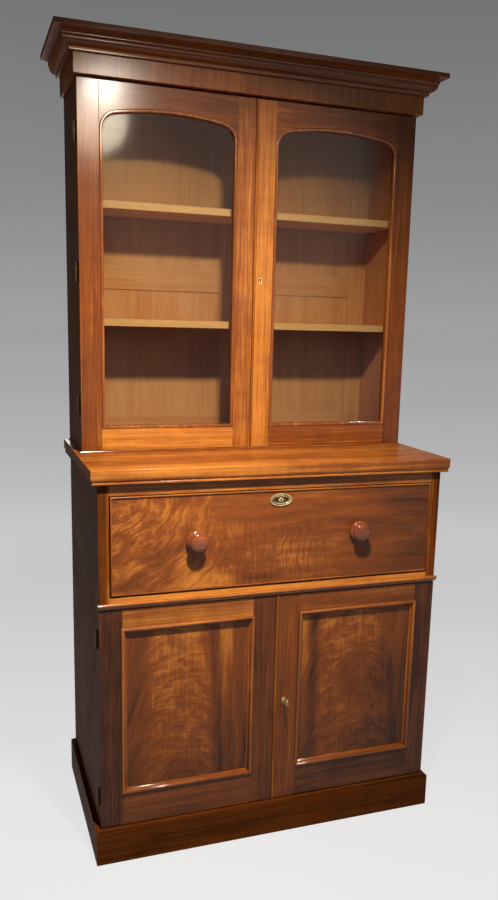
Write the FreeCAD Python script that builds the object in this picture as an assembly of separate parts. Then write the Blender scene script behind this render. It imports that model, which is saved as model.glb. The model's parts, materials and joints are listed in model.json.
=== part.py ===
"""Secretaire bookcase: a glazed bookcase over a fall-front drawer and a cupboard. Millimetres, +Z up.

The origin is on the floor, in the middle of the whole object's width and depth. The front faces -Y.
"""
import FreeCAD, Part
import json
import math
import os
from FreeCAD import Vector

# Base cabinet
base_width = 995.0
base_depth = 541.0
side_thickness = 20.0
back_thickness = 12.0
board_thickness = 18.0
plinth_height = 100.0
plinth_thickness = 14.5
sill_height = 40.0
rail_height = 29.5
rail_depth = 80.0
stile_face = 28.5
nosing_height = 16.0
nosing_projection = 10.0
nosing_overhang = 5.0
top_rail_height = 31.0
base_top_thickness = 40.0
base_top_overhang = 19.0
base_top_edge = 12.0
cupboard_shelf_rise = 310.0
runner_width = 46.0
runner_thickness = 14.0
guide_height = 30.0
dust_panel_thickness = 8.0

# Bookcase
upper_extra_width = 2.0
upper_depth = 250.0
upper_side_thickness = 18.0
upper_back_thickness = 14.0
back_stile_width = 60.0
back_rail_width = 70.0
back_panel_thickness = 6.0
back_panel_play = 0.3
shelf_thickness = 20.0
shelf_rises = (353.0, 671.0)
shelf_setback = 25.0
shelf_end_gap = 1.0
peg_radius = 4.0
peg_length = 14.0
peg_hole_depth = 10.0
peg_inset = 40.0
frieze_height = 51.0
frieze_thickness = 22.0
frieze_front_projection = 21.0
frieze_side_projection = 10.5
cornice_height = 58.5
cornice_projection = 52.0
dust_board_thickness = 6.0
foot_bead_projection = 4.0
foot_bead_gap = 0.5

# Doors
door_thickness = 22.0
door_gap = 3.0
hang_gap = 1.0
meeting_gap = 1.5
meeting_bead_width = 7.0
meeting_bead_projection = 3.0
tenon_length = 30.0
upper_door_height = 980.0
upper_door_lift = 4.5
upper_stile_width = 57.0
upper_meeting_stile_width = 52.0
upper_bottom_rail_height = 61.5
arch_drop = 121.5
arch_rise = 63.0
arch_corner_radius = 50.0
glazing_bead_width = 9.0
glazing_bead_projection = 2.5
glazing_bead_depth = 8.0
glass_thickness = 3.0
glass_edge_gap = 0.4
putty_fillet_depth = 6.0
lower_door_height = 624.0
lower_stile_width = 61.0
lower_meeting_stile_width = 66.0
lower_top_rail_height = 56.0
lower_bottom_rail_height = 97.0
panel_thickness = 9.0
panel_recess = 7.0
panel_groove = 8.0
moulding_width = 16.0
moulding_projection = 6.5
moulding_overlap = 4.0

# Hinges of the four doors
hinge_length = 52.0
hinge_leaf_width = 15.0
hinge_leaf_thickness = 2.0
knuckle_radius = 3.5
knuckle_stand = 1.0
knuckle_gap = 0.3
hinge_pin_radius = 1.5
hinge_pin_tip = 1.5
upper_hinge_inset = 130.0
lower_hinge_inset = 84.0
screw_head_radius = 3.2
screw_shank_radius = 1.6
screw_length = 13.0

# Surface bolts inside the two left doors
bolt_rod_radius = 3.0
bolt_rod_length = 70.0
bolt_stand = 8.0
bolt_travel = 10.0
bolt_tip_gap = 2.0
bolt_inset = 34.0
bolt_plate_width = 16.0
bolt_plate_thickness = 2.0
bolt_guide_width = 12.0
bolt_guide_height = 9.0
bolt_knob_radius = 3.0
bolt_knob_length = 9.0

# Secretaire drawer and its fall front
fall_height = 264.5
fall_thickness = 22.0
fall_top_gap = 2.5
pivot_setback = 9.0
pivot_rise = 16.0
pivot_pin_radius = 2.5
pivot_pin_length = 14.0
pivot_plate_thickness = 1.6
pivot_plate_length = 62.0
pivot_plate_radius = 8.0
pivot_plate_gap = 0.4
swing_gap = 1.2
cockbead_width = 4.0
cockbead_projection = 3.5
cockbead_depth = 6.0
knob_length = 40.0
knob_radius = 29.0
knob_dowel_radius = 6.0
knob_dowel_length = 16.0
knob_spacing = 476.0
knob_rise = 137.0
drawer_side_gap = 1.0
drawer_side_thickness = 12.0
drawer_side_top_gap = 10.0
drawer_back_gap = 13.0
drawer_floor_thickness = 14.0
drawer_groove = 5.0
slide_gap = 0.3
guide_gap = 0.5
quadrant_radius = 180.0
quadrant_width = 8.0
quadrant_thickness = 3.0
quadrant_room = 8.3
quadrant_tail_gap = 1.5
quadrant_tenon = 6.0
quadrant_slot_gap = 4.0
leather_thickness = 1.2
leather_side_margin = 34.0
leather_end_margin = 34.0

# Pigeonholes and small drawers behind the fall
fitment_depth = 230.0
fitment_height = 222.0
fitment_board = 8.0
pigeonhole_count = 6
small_drawer_count = 3
small_drawer_height = 66.0
small_drawer_front = 12.0
small_drawer_wall = 6.0
small_drawer_gap = 0.8
small_drawer_back_gap = 6.0
small_knob_length = 15.0
small_knob_radius = 8.0

# Locks, keyholes, key
lock_width = 46.0
lock_depth = 38.0
lock_thickness = 12.0
lock_wall = 1.5
lock_bolt_width = 14.0
lock_bolt_thickness = 3.5
lock_bolt_length = 30.0
lock_bolt_throw = 8.0
lock_tip_inset = 1.0
upper_key_inset = 15.0
lower_key_inset = 22.0
fall_key_inset = 27.5
upper_lock_rise = 488.5
lower_lock_rise = 310.0
keyhole_radius = 3.2
keyhole_slot = 3.0
keyhole_drop = 9.0
keyhole_rim = 2.4
keyhole_rim_projection = 1.2
escutcheon_width = 64.0
escutcheon_height = 36.0
escutcheon_thickness = 1.5
escutcheon_rim_width = 3.5
escutcheon_rim_height = 3.2
escutcheon_groove = 4.0
key_shank_radius = 2.4
key_reach = 30.0
key_bow_radius = 8.5
key_bow_wire = 2.0
key_collar_radius = 3.6
key_collar_length = 4.0
key_bit_drop = 6.5
key_bit_thickness = 2.4
key_bit_width = 3.6

# Shared fits and cutting overrun
fit_gap = 0.05
loose_gap = 0.3
cut_over = 5.0

# Shares that shape outlines and set small features
tenon_height_share = 0.6
tenon_thickness_share = 0.34
rail_tip_share = 0.2
hinge_knuckles = 5
hinge_screw_share = 0.34
leaf_screw_share = 0.55
glazing_round_share = 0.36
knob_neck_share = 0.5
cockbead_round_share = 0.5

X = Vector(1, 0, 0)
Y = Vector(0, 1, 0)
Z = Vector(0, 0, 1)

# Heights, from the floor up
z_lower_door = plinth_height + door_gap
z_lower_door_top = z_lower_door + lower_door_height
z_rail = z_lower_door_top + door_gap
z_rail_top = z_rail + rail_height
fall_swing = math.hypot(pivot_setback + cockbead_projection, pivot_rise)
z_fall = z_rail_top + fall_swing - pivot_rise + swing_gap
z_fall_top = z_fall + fall_height
z_top_rail = z_fall_top + fall_top_gap
z_base_top = z_top_rail + top_rail_height
z_waist = z_base_top + base_top_thickness
z_upper_door = z_waist + upper_door_lift
z_upper_door_top = z_upper_door + upper_door_height
z_arch = z_upper_door_top - arch_drop
z_frieze = z_upper_door_top + door_gap
z_cornice = z_frieze + frieze_height
z_top = z_cornice + cornice_height
z_pivot = z_fall + pivot_rise
z_drawer_floor = z_pivot + fall_thickness - pivot_setback
z_drawer_bottom = z_rail_top + slide_gap

# Half widths, out from the middle
half_base = base_width / 2
half_inside = half_base - side_thickness
half_opening = half_base - stile_face
half_drawer = half_opening - drawer_side_gap
half_drawer_inside = half_drawer - drawer_side_thickness
half_fall = half_drawer - pivot_plate_thickness - pivot_plate_gap
half_fitment = half_drawer_inside - quadrant_room
half_upper = (base_width + upper_extra_width) / 2
half_upper_inside = half_upper - upper_side_thickness
half_frieze = half_upper + frieze_side_projection
right_edge = meeting_bead_width / 2
left_edge = right_edge + meeting_gap

# Depths: the back is one plane, and the knobs reach furthest forward
y_back = (base_depth + knob_length) / 2
door_room = door_thickness + hang_gap
upper_face_depth = upper_depth + door_room
frieze_depth = upper_face_depth + frieze_front_projection
base_top_depth = base_depth + base_top_overhang


def y_at(depth):
    """Place along Y of a depth measured forward from the back."""
    return y_back - depth


def depths(rear, front):
    """Pair of places along Y for two depths measured forward from the back."""
    return (y_at(rear), y_at(front))


y_face = y_at(base_depth)
y_fall_inner = y_face + fall_thickness
y_pivot = y_face + pivot_setback
y_lower_door_back = y_face + door_thickness
y_upper_face = y_at(upper_face_depth)
y_upper_door_back = y_upper_face + door_thickness


def block(x, y, z):
    """Box between two limits along each axis."""
    low = Vector(min(x), min(y), min(z))
    return Part.makeBox(max(x) - min(x), max(y) - min(y), max(z) - min(z), low)


def across(half):
    """Limits along X that lie the same distance each side of the middle."""
    return (-half, half)


def rod(radius, start, axis, length):
    """Round bar from a point along an axis."""
    return Part.makeCylinder(radius, length, start, axis)


def mirrored(shape):
    """The same piece on the left side."""
    return shape.mirror(Vector(0, 0, 0), X)


def face(place, start, *moves):
    """Flat face: each move is a point to draw a line to, or a point to pass through and an end for an arc."""
    edges = []
    here = start
    for move in moves + (start,):
        if isinstance(move[0], tuple):
            through, end = move
            edges.append(Part.Arc(place(*here), place(*through), place(*end)).toShape())
        else:
            end = move
            edges.append(Part.LineSegment(place(*here), place(*end)).toShape())
        here = end
    return Part.Face(Part.Wire(edges))


def flat_prism(points, direction):
    """Straight-sided face through the points, pushed along a direction."""
    return Part.Face(Part.makePolygon(list(points) + [points[0]])).extrude(direction)


def without(shape, *tools):
    """The shape with every tool cut away."""
    for tool in tools:
        shape = shape.cut(tool)
    return shape


def write(name, *pieces):
    """Write one named sub-part, made of one solid or of several separate ones."""
    solids = [solid for piece in pieces for solid in piece.Solids]
    shape = solids[0] if len(solids) == 1 else Part.makeCompound(solids)
    shape.exportStep(os.path.join("parts", name + ".step"))


def three_sided(outline, half_width, front, reach):
    """Moulding along the front and both sides, mitred at the front corners.

    Points of the outline are (distance out from the faces, height).
    """
    length = 2 * (half_width + reach)
    tall = Vector(0, 0, z_top + 2 * cut_over)
    front_strip = face(lambda out, z: Vector(-half_width - reach, front - out, z), *outline)
    front_strip = front_strip.extrude(X * length)
    front_plan = flat_prism([
        Vector(-half_width - reach, front - reach, -cut_over),
        Vector(half_width + reach, front - reach, -cut_over),
        Vector(half_width - reach, front + reach, -cut_over),
        Vector(-half_width + reach, front + reach, -cut_over),
    ], tall)
    run = y_back - front + reach
    side_strip = face(lambda out, z: Vector(half_width + out, front - reach, z), *outline).extrude(Y * run)
    side_plan = flat_prism([
        Vector(half_width + reach, front - reach, -cut_over), Vector(half_width + reach, y_back, -cut_over),
        Vector(half_width - reach, y_back, -cut_over), Vector(half_width - reach, front + reach, -cut_over),
    ], tall)
    right = side_strip.common(side_plan)
    return [front_strip.common(front_plan), right, mirrored(right)]


def four_sided(outline, x, z, y, reach):
    """Moulding round a rectangle in a front face at y, mitred at its four corners.

    Points of the outline are (distance in from the rectangle's edge, distance out from the face).
    """
    thick = Vector(0, -2 * reach, 0)
    y_start = y + reach
    low_strip = face(lambda u, w: Vector(x[0], y - w, z[0] + u), *outline).extrude(X * (x[1] - x[0]))
    low_plan = flat_prism([
        Vector(x[0], y_start, z[0]), Vector(x[1], y_start, z[0]),
        Vector(x[1] - reach, y_start, z[0] + reach), Vector(x[0] + reach, y_start, z[0] + reach),
    ], thick)
    side_strip = face(lambda u, w: Vector(x[0] + u, y - w, z[0]), *outline).extrude(Z * (z[1] - z[0]))
    side_plan = flat_prism([
        Vector(x[0], y_start, z[0]), Vector(x[0] + reach, y_start, z[0] + reach),
        Vector(x[0] + reach, y_start, z[1] - reach), Vector(x[0], y_start, z[1]),
    ], thick)
    low = low_strip.common(low_plan)
    side = side_strip.common(side_plan)
    middle = Vector((x[0] + x[1]) / 2, y, (z[0] + z[1]) / 2)
    return [low, low.mirror(middle, Z), side, side.mirror(middle, X)]


def scaled(points, width, height):
    """Outline given in shares of a width and a height, turned into sizes."""
    sized = []
    for point in points:
        if isinstance(point[0], tuple):
            sized.append(tuple((a * width, b * height) for a, b in point))
        else:
            sized.append((point[0] * width, point[1] * height))
    return sized


def lifted(points, height):
    """Outline of (distance out, height) points, raised by a height."""
    raised = []
    for point in points:
        if isinstance(point[0], tuple):
            raised.append(tuple((a, b + height) for a, b in point))
        else:
            raised.append((point[0], point[1] + height))
    return raised


def keyhole(x, z, y, radius, slot, drop):
    """Round hole with a slot below it, through the limits given along Y."""
    run = max(y) - min(y)
    barrel = rod(radius, Vector(x, min(y), z), Y, run)
    return barrel.fuse(block((x - slot / 2, x + slot / 2), y, (z - drop, z)))


def turned_knob(x, y, z, length, radius, dowel_radius, dowel_length):
    """Turned wooden knob on a front face, with the dowel that holds it."""
    neck_share = knob_neck_share
    head_shares = (
        (neck_share, 0.0), (neck_share, 0.08), ((neck_share * 0.9, 0.2), (neck_share * 1.3, 0.36)),
        (0.94, 0.40), ((1.0, 0.49), (0.94, 0.58)), (0.80, 0.59), (0.80, 0.64), (0.88, 0.65),
    )
    head = scaled(head_shares, radius, length)
    rim, rim_out = head[-1]
    hub = (length ** 2 - rim_out ** 2 - rim ** 2) / (2 * (length - rim_out))
    lean = math.atan2(rim, rim_out - hub) / 2
    dome = ((length - hub) * math.sin(lean), hub + (length - hub) * math.cos(lean))
    dowel = ((0, -dowel_length), (dowel_radius, -dowel_length), (dowel_radius, 0))
    outline = face(lambda r, out: Vector(x + r, y - out, z), *dowel, *head, (dome, (0, length)))
    return outline.revolve(Vector(x, y, z), Y, 360)


def hinge(x_face, y_door, z_mid):
    """Butt hinge of a right-hand door: leaves, pin and screws, with the cuts that let them in."""
    y_case = y_door + hang_gap
    pin_x = x_face + knuckle_stand + knuckle_radius
    pin_y = y_door + hang_gap / 2
    z = (z_mid - hinge_length / 2, z_mid + hinge_length / 2)
    x_in = x_face - hinge_leaf_width
    step = hinge_length / hinge_knuckles
    parts = {"pin_at": (pin_x, pin_y)}
    layers = {
        "door": (y_door - hinge_leaf_thickness, y_door),
        "case": (y_case, y_case + hinge_leaf_thickness),
    }
    bore_start = Vector(pin_x, pin_y, z[0] - cut_over)
    bore = rod(hinge_pin_radius + fit_gap, bore_start, Z, hinge_length + 2 * cut_over)
    for owner, layer in layers.items():
        leaf = block((x_in, x_face + knuckle_stand - knuckle_gap), layer, z)
        first = 0 if owner == "case" else 1
        for index in range(first, hinge_knuckles, 2):
            low = z[0] + index * step + (knuckle_gap / 2 if index else 0)
            high = z[0] + (index + 1) * step - (knuckle_gap / 2 if index < hinge_knuckles - 1 else 0)
            leaf = leaf.fuse(block((x_in, pin_x), layer, (low, high)))
            leaf = leaf.fuse(rod(knuckle_radius, Vector(pin_x, pin_y, low), Z, high - low))
        leaf = leaf.cut(bore)
        outer = layer[1] if owner == "door" else layer[0]
        inward = Y * -1 if owner == "door" else Y
        screws = []
        shanks = []
        for place_share in (-hinge_screw_share, 0, hinge_screw_share):
            screw_x = x_face - hinge_leaf_width * leaf_screw_share
            start = Vector(screw_x, outer, z_mid + place_share * hinge_length)
            head = Part.makeCone(screw_head_radius, screw_shank_radius, hinge_leaf_thickness, start, inward)
            shank = rod(screw_shank_radius, start, inward, screw_length)
            screws.append(head.fuse(shank))
            shanks.append(shank)
        leaf = without(leaf, *screws).removeSplitter()
        far = outer + (cut_over if owner == "door" else -cut_over)
        deep = layer[0] if owner == "door" else layer[1]
        parts[owner] = [leaf] + screws
        parts[owner + "_cuts"] = [block((x_in, x_face + cut_over), (deep, far), z)] + shanks
    parts["pin"] = rod(hinge_pin_radius, Vector(pin_x, pin_y, z[0] - hinge_pin_tip), Z,
                       hinge_length + 2 * hinge_pin_tip)
    return parts


def lock(place, tip, throw):
    """Lock case let into the inner face of a piece, with its bolt, and the cuts for both.

    place turns limits across, along the bolt's way out and in from the inner face into a box.
    """
    half = lock_width / 2
    bolt_half = lock_bolt_width / 2
    bolt_from = lock_wall + loose_gap
    bolt_to = bolt_from + lock_bolt_thickness
    wide = (-bolt_half - loose_gap, bolt_half + loose_gap)
    layer = (bolt_from - loose_gap, bolt_to + loose_gap)
    outer = place((-half, half), (-lock_depth, 0), (0, lock_thickness))
    inner = place((lock_wall - half, half - lock_wall), (lock_wall - lock_depth, -lock_wall),
                  (lock_wall, lock_thickness - lock_wall))
    mouth = place(wide, (-2 * lock_wall, cut_over), layer)
    return {
        "case": without(outer, inner, mouth),
        "bolt": place((-bolt_half, bolt_half), (tip - lock_bolt_length, tip), (bolt_from, bolt_to)),
        "pocket": outer,
        "way": place(wide, (-lock_wall, tip + throw + loose_gap), layer),
    }


def surface_bolt(x, y_door, z_keeper):
    """Sliding bolt inside a right-hand door: plate with guides, rod, and the hole it shoots into."""
    axis_y = y_door + bolt_stand
    z_tip = z_keeper - bolt_tip_gap
    z_low = z_tip - bolt_rod_length
    plate_z = (z_low, z_tip - bolt_guide_height)
    half = bolt_guide_width / 2
    plate_x = (x - bolt_plate_width / 2, x + bolt_plate_width / 2)
    plate = block(plate_x, (y_door, y_door + bolt_plate_thickness), plate_z)
    for guide_z in (plate_z[0], plate_z[1] - bolt_guide_height):
        guide = block((x - half, x + half), (y_door, axis_y + half), (guide_z, guide_z + bolt_guide_height))
        plate = plate.fuse(guide)
    bore_start = Vector(x, axis_y, z_low - cut_over)
    bore = rod(bolt_rod_radius + fit_gap, bore_start, Z, bolt_rod_length + 2 * cut_over)
    z_knob = (plate_z[0] + plate_z[1] - bolt_travel) / 2
    z_tail = z_low - bolt_travel - bolt_tip_gap
    bar = rod(bolt_rod_radius, Vector(x, axis_y, z_tail), Z, z_tip - z_tail)
    bar = bar.fuse(rod(bolt_knob_radius, Vector(x, axis_y, z_knob), Y, bolt_rod_radius + bolt_knob_length))
    hole = rod(bolt_rod_radius + loose_gap, Vector(x, axis_y, z_keeper - cut_over), Z, bolt_travel + cut_over)
    return {"plate": plate.cut(bore).removeSplitter(), "rod": bar.removeSplitter(), "hole": hole}


def tenoned_rail(x, y, z, tenon_z):
    """Rail between two stiles, with a tenon on each end."""
    half = door_thickness * tenon_thickness_share / 2
    mid = (y[0] + y[1]) / 2
    tenon = block((x[0] - tenon_length, x[1] + tenon_length), (mid - half, mid + half), tenon_z)
    return block(x, y, z).fuse(tenon)


def rail_tenon(z):
    """Limits in height of the tenon of a rail."""
    middle = (z[0] + z[1]) / 2
    half = (z[1] - z[0]) * tenon_height_share / 2
    return (middle - half, middle + half)


def arch_face(x, inset, y):
    """Outline of a glazed opening between two stiles, drawn in by an inset all round."""
    middle = (x[0] + x[1]) / 2
    half = (x[1] - x[0]) / 2
    hub = half - arch_corner_radius
    big = (hub ** 2 + arch_rise ** 2 - arch_corner_radius ** 2) / (2 * (arch_rise - arch_corner_radius))
    z_hub = z_arch + arch_rise - big
    lean = math.atan2(z_arch - z_hub, hub)
    corner = arch_corner_radius - inset
    side = half - inset
    low = z_upper_door + upper_bottom_rail_height + inset

    def corner_point(way, angle):
        return (middle + way * (hub + corner * math.cos(angle)), z_arch + corner * math.sin(angle))

    apex = (middle, z_hub + big - inset)
    return face(
        lambda a, z: Vector(a, y, z),
        (middle - side, low), (middle + side, low), (middle + side, z_arch),
        (corner_point(1, lean / 2), corner_point(1, lean)), (apex, corner_point(-1, lean)),
        (corner_point(-1, lean / 2), (middle - side, z_arch)),
    )


def upper_door(edge):
    """Glazed door on the right, from its meeting edge to the outside of the bookcase."""
    y = (y_upper_face, y_upper_door_back)
    z = (z_upper_door, z_upper_door_top)
    x = (edge + upper_meeting_stile_width, half_upper - upper_stile_width)
    low_z = (z[0], z[0] + upper_bottom_rail_height)
    apex_z = (z_arch + arch_rise, z[1])
    tip = arch_corner_radius * rail_tip_share
    through = Y * (door_thickness + 2 * cut_over)
    opening = arch_face(x, 0, y[0] - cut_over).extrude(through)
    top = tenoned_rail(x, y, (z_arch + tip, z[1]), rail_tenon(apex_z)).cut(opening)
    bottom = tenoned_rail(x, y, low_z, rail_tenon(low_z))
    stiles = [block((edge, x[0]), y, z), block((x[1], half_upper), y, z)]
    stiles = [without(stile, top, bottom) for stile in stiles]
    front = y[0] - glazing_bead_projection
    bead_run = Y * (glazing_bead_projection + glazing_bead_depth)
    bead = arch_face(x, 0, front).extrude(bead_run)
    bead = bead.cut(arch_face(x, glazing_bead_width, front).extrude(bead_run))
    front_edges = [edge_ for edge_ in bead.Edges if edge_.BoundBox.YMax < front + glass_edge_gap]
    bead = bead.makeFillet(glazing_bead_width * glazing_round_share, front_edges)
    y_glass = y[0] + glazing_bead_depth
    glass = arch_face(x, glass_edge_gap, y_glass).extrude(Y * glass_thickness)
    y_putty = y_glass + glass_thickness
    putty_run = Y * putty_fillet_depth
    putty = arch_face(x, 0, y_putty).extrude(putty_run)
    putty = putty.cut(arch_face(x, glazing_bead_width, y_putty).extrude(putty_run))
    return {"stiles": stiles, "rails": [top, bottom], "glass": glass, "beads": [bead, putty]}


def lower_door(edge):
    """Panelled door on the right, from its meeting edge to the outside of the base."""
    y = (y_face, y_lower_door_back)
    z = (z_lower_door, z_lower_door_top)
    x = (edge + lower_meeting_stile_width, half_base - lower_stile_width)
    low_z = (z[0], z[0] + lower_bottom_rail_height)
    high_z = (z[1] - lower_top_rail_height, z[1])
    y_panel = y[0] + panel_recess
    panel = block((x[0] - panel_groove, x[1] + panel_groove), (y_panel, y_panel + panel_thickness),
                  (low_z[1] - panel_groove, high_z[0] + panel_groove))
    rails = [tenoned_rail(x, y, low_z, rail_tenon(low_z)), tenoned_rail(x, y, high_z, rail_tenon(high_z))]
    rails = [rail.cut(panel) for rail in rails]
    stiles = [block((edge, x[0]), y, z), block((x[1], half_base), y, z)]
    stiles = [without(stile, panel, *rails) for stile in stiles]
    over = moulding_overlap / moulding_width
    sink = panel_recess / moulding_projection
    shares = (
        (0.0, 0.0), ((0.07, 0.72), (0.28, 1.0)), ((0.52, 0.86), (0.64, 0.3)),
        ((0.74, -0.25 * sink), (1.0, -0.7 * sink)), (1.0, -sink), (over, -sink), (over, 0.0),
    )
    outline = scaled(shares, moulding_width, moulding_projection)
    mould_x = (x[0] - moulding_overlap, x[1] + moulding_overlap)
    mould_z = (low_z[1] - moulding_overlap, high_z[0] + moulding_overlap)
    moulding = four_sided(outline, mould_x, mould_z, y[0], moulding_width)
    return {"stiles": stiles, "rails": rails, "panel": panel, "moulding": moulding}


def meeting_bead(y, z):
    """Rounded strip glued to the meeting edge of a right-hand door."""
    round_from = y[0] - meeting_bead_projection + right_edge
    outline = face(
        lambda a, b: Vector(a, b, z[0]),
        (-right_edge, round_from), ((0, y[0] - meeting_bead_projection), (right_edge, round_from)),
        (right_edge, y[1]), (-right_edge, y[1]),
    )
    return outline.extrude(Z * (z[1] - z[0]))


def hang(door, face_x, y_door, heights):
    """Cut a door's outer stile for its hinges, and give the hinges back."""
    hinges = [hinge(face_x, y_door, height) for height in heights]
    cuts = [cut for item in hinges for cut in item["door_cuts"]]
    door["stiles"][1] = without(door["stiles"][1], *cuts)
    return hinges


os.makedirs("parts", exist_ok=True)
places = {}

# Base carcase
side_points = [
    (0, 0), (base_depth, 0), (base_depth, plinth_height), (base_depth - door_room, plinth_height),
    (base_depth - door_room, z_rail), (base_depth, z_rail), (base_depth, z_base_top), (0, z_base_top),
]
base_side = face(lambda d, z: Vector(half_inside, y_at(d), z), *side_points).extrude(X * side_thickness)
z_cupboard = plinth_height + board_thickness
write("base_back", block(across(half_inside), depths(0, back_thickness), (0, z_base_top)))
write("base_bottom", block(across(half_inside), depths(back_thickness, base_depth - door_room),
                           (plinth_height, z_cupboard)))
edge_shares = (
    (0.0, 0.0), (0.56, 0.0), ((0.74, 0.03), (0.76, 0.1)), ((0.72, 0.16), (0.6, 0.19)), (0.68, 0.21),
    ((0.92, 0.34), (1.0, 0.56)), (1.0, 0.92), ((0.95, 0.98), (0.78, 1.0)), (0.0, 1.0),
)
edge_outline = lifted(scaled(edge_shares, base_top_edge, base_top_thickness), z_base_top)
half_core = half_base + base_top_overhang - base_top_edge
core_depth = base_top_depth - base_top_edge
base_top = block(across(half_core), depths(0, core_depth), (z_base_top, z_waist))
for strip in three_sided(edge_outline, half_core, y_at(core_depth), base_top_edge):
    base_top = base_top.fuse(strip)
write("base_top", base_top.removeSplitter())

plinth_shares = ((0.0, 0.0), (1.0, 0.0), (1.0, 0.9), ((0.93, 0.97), (0.55, 0.985)), (0.4, 1.0), (0.0, 1.0))
plinth_outline = scaled(plinth_shares, plinth_thickness, plinth_height)
plinth = three_sided(plinth_outline, half_base, y_face, plinth_thickness)
sill = block(across(half_inside), depths(base_depth - rail_depth, base_depth),
             (plinth_height - sill_height, plinth_height))
write("plinth", *plinth, sill)

nosing_shares = (
    (0.0, 0.0), (0.2, 0.0), ((0.3, 0.3), (0.62, 0.44)), (0.7, 0.5), ((1.0, 0.75), (0.7, 1.0)), (0.0, 1.0),
)
nosing_outline = lifted(scaled(nosing_shares, nosing_projection, nosing_height), z_rail)
nosing_half = half_base + nosing_overhang
nosing = face(lambda out, z: Vector(-nosing_half, y_face - out, z), *nosing_outline)
foot_bead_shares = ((0.0, 0.0), (0.5, 0.0), ((1.0, 0.5), (0.5, 1.0)), (0.0, 1.0))
foot_bead_height = upper_door_lift - foot_bead_gap
foot_bead_outline = lifted(scaled(foot_bead_shares, foot_bead_projection, foot_bead_height), z_waist)
foot_bead = three_sided(foot_bead_outline, half_upper, y_upper_face, foot_bead_projection)
write("waist_moulding", nosing.extrude(X * (2 * nosing_half)), *foot_bead)

runner_depth = base_depth - rail_depth
runner_z = (z_rail_top - runner_thickness, z_rail_top)
runner_x = (half_drawer - runner_width, half_inside)
runner = block(runner_x, depths(back_thickness, runner_depth), runner_z)
guide = block((half_drawer + guide_gap, half_inside), depths(back_thickness, runner_depth),
              (z_rail_top, z_rail_top + guide_height))
dust_panel = block(across(runner_x[0]), depths(back_thickness, runner_depth),
                   (runner_z[0], runner_z[0] + dust_panel_thickness))
write("drawer_runners", runner, mirrored(runner), guide, mirrored(guide), dust_panel)

# Bookcase carcase
upper_side = block((half_upper_inside, half_upper), depths(0, upper_depth), (z_waist, z_frieze))
case_depths = depths(upper_back_thickness, upper_depth)
bookcase_top = block(across(half_upper_inside), case_depths, (z_frieze - board_thickness, z_frieze))
z_bookcase = z_waist + board_thickness
write("bookcase_bottom", block(across(half_upper_inside), case_depths, (z_waist, z_bookcase)))

columns = [(-half_upper_inside, back_stile_width - half_upper_inside),
           (-back_stile_width / 2, back_stile_width / 2),
           (half_upper_inside - back_stile_width, half_upper_inside)]
z_middle = (z_waist + z_frieze) / 2
rows = [(z_waist, z_waist + back_rail_width),
        (z_middle - back_rail_width / 2, z_middle + back_rail_width / 2),
        (z_frieze - back_rail_width, z_frieze)]
back_y = depths(0, upper_back_thickness)
panel_depth = (upper_back_thickness - back_panel_thickness) / 2
panel_y = depths(panel_depth, panel_depth + back_panel_thickness)
groove_y = depths(panel_depth - back_panel_play, panel_depth + back_panel_thickness + back_panel_play)
panel_reach = panel_groove - back_panel_play
panels = []
grooves = []
muntins = []
for below, above in zip(rows, rows[1:]):
    muntins.append(block(columns[1], back_y, (below[1], above[0])))
    for left, right in zip(columns, columns[1:]):
        panels.append(block((left[1] - panel_reach, right[0] + panel_reach), panel_y,
                            (below[1] - panel_reach, above[0] + panel_reach)))
        grooves.append(block((left[1] - panel_groove, right[0] + panel_groove), groove_y,
                             (below[1] - panel_groove, above[0] + panel_groove)))
frame = [block(columns[0], back_y, (z_waist, z_frieze)), block(columns[2], back_y, (z_waist, z_frieze))]
frame += [block((columns[0][1], columns[2][0]), back_y, row) for row in rows] + muntins
write("bookcase_back", *[without(piece, *grooves) for piece in frame], *panels)

# Shelves on turned pegs
pegs = []
peg_cuts = {"base": [], "upper": []}


def shelf(case, half, rear, front, z_low, thickness):
    """Loose shelf and the four pegs that carry it, with the holes for the pegs."""
    z_peg = z_low - peg_radius - fit_gap
    for depth in (rear + peg_inset, front - peg_inset):
        inner = Vector(half - peg_length, y_at(depth), z_peg)
        peg = rod(peg_radius, inner, X, peg_length + peg_hole_depth)
        pegs.extend([peg, mirrored(peg)])
        peg_cuts[case].append(peg)
    return block(across(half - shelf_end_gap), depths(rear, front), (z_low, z_low + thickness))


upper_shelves = [shelf("upper", half_upper_inside, upper_back_thickness + shelf_end_gap,
                       upper_depth - shelf_setback, z_bookcase + rise - shelf_thickness, shelf_thickness)
                 for rise in shelf_rises]
write("bookcase_shelves", *upper_shelves)
z_cupboard_shelf = z_cupboard + cupboard_shelf_rise
cupboard_front = base_depth - door_room - shelf_setback
write("cupboard_shelf", shelf("base", half_inside, back_thickness + shelf_end_gap, cupboard_front,
                              z_cupboard_shelf, board_thickness))
write("shelf_pegs", *pegs)

# Frieze, cornice and dust board
z_dust = z_top - dust_board_thickness
frieze_outline = ((-frieze_thickness, z_frieze), (0, z_frieze), (0, z_dust), (-frieze_thickness, z_dust))
y_frieze = y_at(frieze_depth)
frieze_back = block(across(half_frieze - frieze_thickness), depths(0, frieze_thickness), (z_frieze, z_dust))
write("frieze", *three_sided(frieze_outline, half_frieze, y_frieze, frieze_thickness), frieze_back)
write("cornice_dust_board", block(across(half_frieze), depths(0, frieze_depth), (z_dust, z_top)))
cornice_shares = (
    (0.0, 0.0), (0.2, 0.0), (0.21, 0.14), (0.25, 0.15), ((0.46, 0.25), (0.56, 0.44)), (0.54, 0.47),
    (0.56, 0.49), ((0.62, 0.58), (0.57, 0.66)), (0.6, 0.69), ((0.72, 0.73), (0.97, 0.77)), (1.0, 0.77),
    (1.0, 1.0), (0.0, 1.0),
)
cornice_outline = lifted(scaled(cornice_shares, cornice_projection, cornice_height), z_cornice)
write("cornice", *three_sided(cornice_outline, half_frieze, y_frieze, cornice_projection))

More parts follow.
